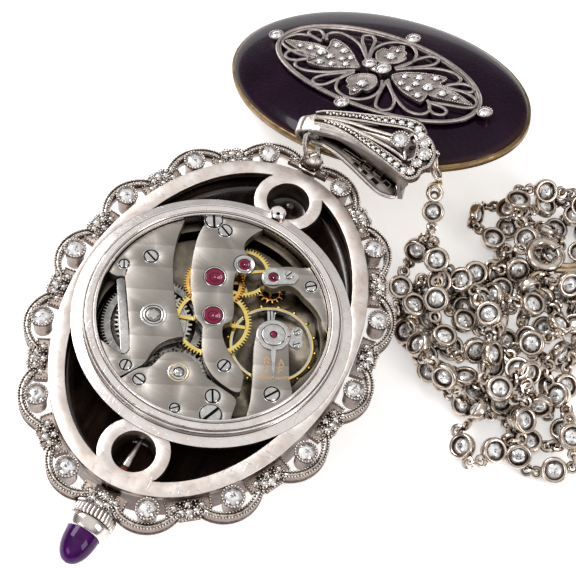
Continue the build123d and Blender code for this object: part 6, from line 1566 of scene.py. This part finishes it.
def crown_work():
    g = Geo()
    n = 32
    seg = n * 8
    oy = -0.42
    ys = [(-19.00, 1.56), (-19.05, 1.80), (-19.16, 1.90), (-19.30, 1.93), (-19.86, 1.94), (-20.02, 1.88), (-20.08, 1.66)]
    v = []
    for y, r in ys:
        for j in range(seg):
            a = 2 * math.pi * j / seg
            q = r - 0.17 * (0.5 - 0.5 * math.cos(a * n)) ** 1.6 * (1.0 if 1.7 < r else 0.3)
            v.append((q * math.cos(a), y + oy, STEM_Z + q * math.sin(a)))
    f = []
    for i in range(len(ys) - 1):
        for j in range(seg):
            f.append((i * seg + j, i * seg + (j + 1) % seg, (i + 1) * seg + (j + 1) % seg, (i + 1) * seg + j))
    f += [tuple(reversed(range(seg))), tuple(range((len(ys) - 1) * seg, len(ys) * seg))]
    g.add(v, f, 0)
    g.lathe((0, -20.02 + oy, STEM_Z), (0, -1, 0), [(0.4, 0.0), (1.68, 0.0), (1.72, 0.05), (1.82, 0.08), (1.87, 0.16), (1.85, 0.42), (1.74, 0.78), (1.62, 1.02), (1.57, 1.10), (1.49, 1.13), (1.44, 1.10), (1.42, 0.9), (0.4, 0.8)], 1, 72)
    # painted shade: a near-black ring in the crease between the fluted body and the cap
    g.lathe((0, -20.02 + oy, STEM_Z), (0, -1, 0), [(1.60, -0.01), (1.705, -0.01), (1.705, 0.045), (1.60, 0.045)], 2, 72)
    g.lathe((0, -18.60, STEM_Z), (0, -1, 0), [(0.4, 0.0), (0.58, 0.0), (0.62, 0.06), (0.62, 0.5 - oy), (0.4, 0.5 - oy)], 3, 32)
    outward(g.build("crown_fluted", ["bail_bright", "crown_band", "black", "web"], "crown", ("crown_shell",)))
    g = Geo()
    prof = [(0.0, 0.0), (1.43, 0.0)]
    for t in np.linspace(0.02, 1.0, 24):
        prof.append((1.45 * max(0.0, 1 - t ** 2.3) ** 0.5 if t < 1 else 0.0, 0.05 + 2.78 * t))
    g.lathe((0, -21.02 + oy, STEM_Z), (0, -1, 0), prof, 0, 64, (0, 0, 1), False)
    outward(g.build("crown_stone", ["amethyst"], "crown", ("crown_cabochon",)))
    g = Geo()
    g.lathe((0, -15.00, STEM_Z), (0, -1, 0), [(0.30, 0.0), (0.44, 0.03), (0.50, 0.16), (0.52, 0.55), (0.42, 0.72), (0.30, 0.75)], 0, 24)
    g.lathe((0, -12.55, STEM_Z), (0, -1, 0), [(0.05, 0.0), (0.20, 0.05), (0.34, 1.3), (0.44, 2.2), (0.42, 2.42), (0.30, 2.50), (0.05, 2.50)], 1, 28)
    outward(g.build("stem_collar", ["rust", "steel"], "stem"))


# darker brown than the rest of the border work, with painted shade in recesses and on upright faces
M["web"] = metal("web_dark_brown", (0.235, 0.175, 0.145), (0.56, 0.475, 0.42), 0.26, 0.46, 1.8, 14.0, 0.0, 0, (0.035, 0.020, 0.014), 0.8, 0.35, (0.19, 0.125, 0.10))
M["crown_band"] = metal("crown_band", (0.66, 0.58, 0.545), (0.93, 0.87, 0.84), 0.10, 0.22, 0.8, 8.0, 0.3, 0.3, (0.10, 0.07, 0.06), 0.15, 0.4)
M["rust"] = metal("brown_gland", (0.11, 0.030, 0.018), (0.24, 0.075, 0.045), 0.35, 0.6, 2.0, 9.0, 0.0, 0, None, 0.6)
crown_work()

DIGIT = {
    "0": [[(0, -.5), (-.36, -.3), (-.42, 0), (-.36, .3), (0, .5), (.36, .3), (.42, 0), (.36, -.3), (0, -.5)]],
    "1": [[(-.22, -.30), (.05, -.5), (.05, .5)], [(-.18, .5), (.26, .5)]],
    "2": [[(-.36, -.26), (-.2, -.46), (.1, -.5), (.34, -.32), (.3, -.05), (-.05, .2), (-.38, .48)], [(-.38, .48), (.40, .48)]],
    "3": [[(-.34, -.34), (-.1, -.5), (.22, -.45), (.33, -.25), (.2, -.05), (-.05, 0)], [(-.05, 0), (.25, .08), (.38, .28), (.22, .47), (-.1, .5), (-.36, .36)]],
    "4": [[(.16, .5), (.16, -.5), (-.42, .2), (.42, .2)]],
    "5": [[(.34, -.48), (-.24, -.48), (-.3, -.06)], [(-.3, -.06), (0, -.16), (.3, -.02), (.38, .2), (.22, .44), (-.1, .5), (-.36, .36)]],
    "6": [[(.28, -.42), (.02, -.5), (-.28, -.25), (-.38, .1), (-.25, .42), (.03, .5), (.32, .36), (.36, .12), (.18, -.08), (-.1, -.08), (-.36, .12)]],
    "7": [[(-.38, -.48), (.38, -.48), (.1, 0), (-.06, .5)]],
    "8": [[(0, -.5), (-.26, -.4), (-.28, -.16), (0, 0), (.32, .16), (.32, .4), (0, .5), (-.32, .4), (-.32, .16), (0, 0), (.28, -.16), (.26, -.4), (0, -.5)]],
    "9": [[(-.28, .42), (-.02, .5), (.28, .25), (.38, -.1), (.25, -.42), (-.03, -.5), (-.32, -.36), (-.36, -.12), (-.18, .08), (.1, .08), (.36, -.12)]],
}


def dial_work():
    """Numerals, minute track and gilt dots on the dial's front face, which looks down in this pose."""
    g = Geo()
    zf = 4.1

    def flat(pts, w, mat, lift=0.012):
        for p, q in zip(pts[:-1], pts[1:]):
            p, q = np.array(p, float), np.array(q, float)
            if np.linalg.norm(q - p) < 1e-6:
                continue
            t = (q - p) / np.linalg.norm(q - p)
            n2 = np.array((-t[1], t[0])) * w
            p, q = p - t * w * 0.5, q + t * w * 0.5
            c4 = [p - n2, q - n2, q + n2, p + n2]
            g.add([(c[0], c[1], zf - lift) for c in c4] + [(c[0], c[1], zf + 0.01) for c in c4], [(3, 2, 1, 0), (0, 1, 5, 4), (1, 2, 6, 5), (2, 3, 7, 6), (3, 0, 4, 7)], mat, False)

    # from the front, hours run clockwise: towards -X on the right-hand side
    for h in range(1, 13):
        a = 2 * math.pi * h / 12
        cx, cy = -math.sin(a) * 6.9, math.cos(a) * 6.9
        text = str(h)
        for i, ch in enumerate(text):
            off = (i - (len(text) - 1) / 2) * 0.92
            for st in DIGIT[ch]:
                pts = spline(st, 4) if len(st) > 4 else np.array(st, float)
                flat([(cx - (off + x * 0.98), cy - y * 1.75) for x, y in pts], 0.085, 0)
    for k in range(60):
        a = 2 * math.pi * k / 60
        e = np.array((-math.sin(a), math.cos(a)))
        flat([e * 8.42, e * (8.80 if k % 5 else 8.86)], 0.028 if k % 5 else 0.06, 0)
        if k % 5 == 0:
            g.bead((e[0] * 9.12, e[1] * 9.12, zf - 0.01), 0.11, 1, None, (1, 1, 0.6))
    for r, w in ((8.40, 0.022), (8.84, 0.022)):
        g.torus((0, 0, zf - 0.005), (0, 0, 1), r, w, 0, 96, 5)
    for r in (2.4, 3.0, 3.6, 4.2, 4.8):
        g.torus((0, 0, zf + 0.006), (0, 0, 1), r, 0.03, 2, 80, 5)
    outward(g.build("dial_marks", ["ink", "yellow", "dial"], "case"))
    # pierced tips and caps on the hands
    # a cap on the minute hand
    g = Geo()
    g.lathe((0, 0, 3.3), (0, 0, -1), [(0.62, -0.10), (0.62, 0.02), (0.50, 0.09), (0.0, 0.12)], 0, 28, (1, 0, 0), False)
    outward(g.build("minute_cap", ["blued"], "centre_wheel"))


M["ink"] = metal("dial_ink", (0.012, 0.013, 0.022), (0.03, 0.03, 0.05), 0.4, 0.6, 1.5, 9.0)
dial_work()


# ------------------------------------------------------------------ solid webs of the border between the stones


def border_webs():
    g = Geo()
    rnd = np.random.default_rng(5)
    C = [np.array(q, float) for q in COLLETS]
    J = [np.array(q, float) for q in JUNCTIONS]
    bands = []
    for i, cc in enumerate(C):
        n = out_normal(*cc)
        a = J[(i - 1) % 14] * 0.7 + 0.3 * cc + 0.32 * n
        b = J[i] * 0.7 + 0.3 * cc + 0.32 * n
        t = cc + n * 1.25
        m = np.array([t - a, b - a]) * 2
        c = np.linalg.solve(m, np.array([t @ t - a @ a, b @ b - a @ a]))
        bands.append((c, np.linalg.norm(a - c)))
    for j, c in enumerate(J):
        n = out_normal(*c)
        tg = np.array([-n[1], n[0]])
        near = sorted(range(14), key=lambda i: np.linalg.norm(C[i] - c))[:2]
        crown = c[1] < -17 and abs(c[0]) < 2
        knob = c[1] > 17 and abs(c[0]) < 2
        top = 0.52 if crown else 0.82
        rows = []
        for dn in np.linspace(-0.95, top, 18):
            lim = []
            for s in (-1, 1):
                du = 0.0
                while du < 1.95:
                    p = c + tg * (du + 0.02) * s + n * dn
                    k = min(near, key=lambda i: np.linalg.norm(C[i] - p))
                    if np.linalg.norm(C[k] - p) < 1.50:
                        break
                    if du > 0.85 and np.linalg.norm(p - bands[k][0]) > bands[k][1] + 0.16:
                        break
                    du += 0.02
                lim.append(du)
            rows.append((dn, lim))
        v, f = [], []
        for z in (7.25, 6.75):
            for dn, (lo, hi) in rows:
                for q in np.linspace(-lo, hi, 9):
                    p = c + tg * q + n * dn
                    v.append((p[0], p[1], z - (0.05 if q in (-lo, hi) and z > 7 else 0.0)))
        m = len(rows)
        for i in range(m - 1):
            for k in range(8):
                f.append((i * 9 + k, i * 9 + k + 1, (i + 1) * 9 + k + 1, (i + 1) * 9 + k))
                o = m * 9
                f.append((o + i * 9 + k, o + (i + 1) * 9 + k, o + (i + 1) * 9 + k + 1, o + i * 9 + k + 1))
            for k in (0, 8):
                a, b, o = i * 9 + k, (i + 1) * 9 + k, m * 9
                f.append((a, b, o + b, o + a))
        for i in (0, m - 1):
            for k in range(8):
                a, b, o = i * 9 + k, i * 9 + k + 1, m * 9
                f.append((a, b, o + b, o + a))
        g.add(v, f, 0, False)
        # milled edges along the openings
        for s in (0, 1):
            ln = np.array([[*(c + tg * (lim[s] - 0.07) * (-1, 1)[s] + n * dn), 7.27] for dn, lim in rows if -0.85 < dn < 0.60])
            if len(ln) > 3:
                for q in spaced(ln, 0.23):
                    g.bead(q, 0.10, 1)
        # small rose stones in grains towards both openings
        for s in (-1, 1):
            p = c + tg * (1.45 if knob else 1.16) * s + n * -0.30
            g.rose((*p, 7.26), (0, 0, 1), 0.25, 2, rnd.random() * 6, 0.45, 0.35)
            for k in range(7):
                a = 2 * math.pi * k / 7 + rnd.random() * 0.4
                g.bead((p[0] + 0.32 * math.cos(a), p[1] + 0.32 * math.sin(a), 7.28), 0.078, 1)
        for k in range(16):
            q, dn = rnd.uniform(-1.25, 1.25), rnd.uniform(-0.8, 0.55)
            p = c + tg * q + n * dn
            if min(np.linalg.norm(C[i] - p) for i in near) > 1.62 and not (knob and abs(q) < 0.95):
                g.bead((p[0], p[1], 7.255), rnd.uniform(0.05, 0.085), 1)
    outward(g.build("border_webs", ["web", "plat", "stone_warm"], "case"))


border_webs()

# ------------------------------------------------------------------ floor and light
def floor():
    me = bpy.data.meshes.new("floor")
    s = 3.0
    me.from_pydata([(-s, -s, -0.00002), (s, -s, -0.00002), (s, s, -0.00002), (-s, s, -0.00002)], [], [(0, 1, 2, 3)])
    o = bpy.data.objects.new("floor", me)
    scene.collection.objects.link(o)
    m, nt, b = mat_new("floor_paper")
    b.inputs["Roughness"].default_value = 0.9
    n = noise(nt, coords(nt), 0.02, 2.0, 0.5)
    nt.links.new(ramp(nt, n, [(0.3, (0.955, 0.955, 0.955)), (0.7, (0.975, 0.975, 0.975))]), b.inputs["Base Color"])
    b.inputs["Emission Color"].default_value = (1.0, 1.0, 1.0, 1.0)
    b.inputs["Emission Strength"].default_value = 0.48
    me.materials.append(m)


floor()


def area(name, loc, target, size, power, color=(1, 1, 1)):
    d = bpy.data.lights.new(name, "AREA")
    d.shape = "RECTANGLE"
    d.size, d.size_y = size
    d.energy = power
    d.color = color
    o = bpy.data.objects.new(name, d)
    scene.collection.objects.link(o)
    o.location = loc
    o.rotation_mode = "QUATERNION"
    o.rotation_quaternion = (Vector(target) - Vector(loc)).to_track_quat("-Z", "Y")
    return o


area("key", (-0.30, 0.08, 0.30), (0.005, 0.01, 0.0), (0.22, 0.22), 1.15)
area("side", (0.32, -0.06, 0.20), (0.01, 0.01, 0.0), (0.12, 0.20), 0.35, (1.0, 0.97, 0.94))
area("front", (-0.16, -0.30, 0.22), (0.0, 0.0, 0.0), (0.20, 0.12), 0.25)

world = bpy.data.worlds.new("studio")
scene.world = world
world.use_nodes = True
wn = world.node_tree
wn.nodes.clear()
w_out = wn.nodes.new("ShaderNodeOutputWorld")
w_bg = wn.nodes.new("ShaderNodeBackground")
w_bg.inputs["Strength"].default_value = 0.85
w_tc = wn.nodes.new("ShaderNodeTexCoord")
w_sep = wn.nodes.new("ShaderNodeSeparateXYZ")
w_rmp = wn.nodes.new("ShaderNodeValToRGB")
els = w_rmp.color_ramp.elements
for _ in range(3):
    els.new(0.5)
for e, (p, c) in zip(els, [(0.0, 0.42), (0.22, 0.20), (0.48, 0.42), (0.76, 0.86), (1.0, 0.95)]):
    e.position = p
    e.color = (c, c * 0.985, c * 0.97, 1.0)
wn.links.new(w_tc.outputs["Generated"], w_sep.inputs["Vector"])
wn.links.new(w_sep.outputs["Z"], w_rmp.inputs["Fac"])
wn.links.new(w_rmp.outputs["Color"], w_bg.inputs["Color"])
wn.links.new(w_bg.outputs["Background"], w_out.inputs["Surface"])
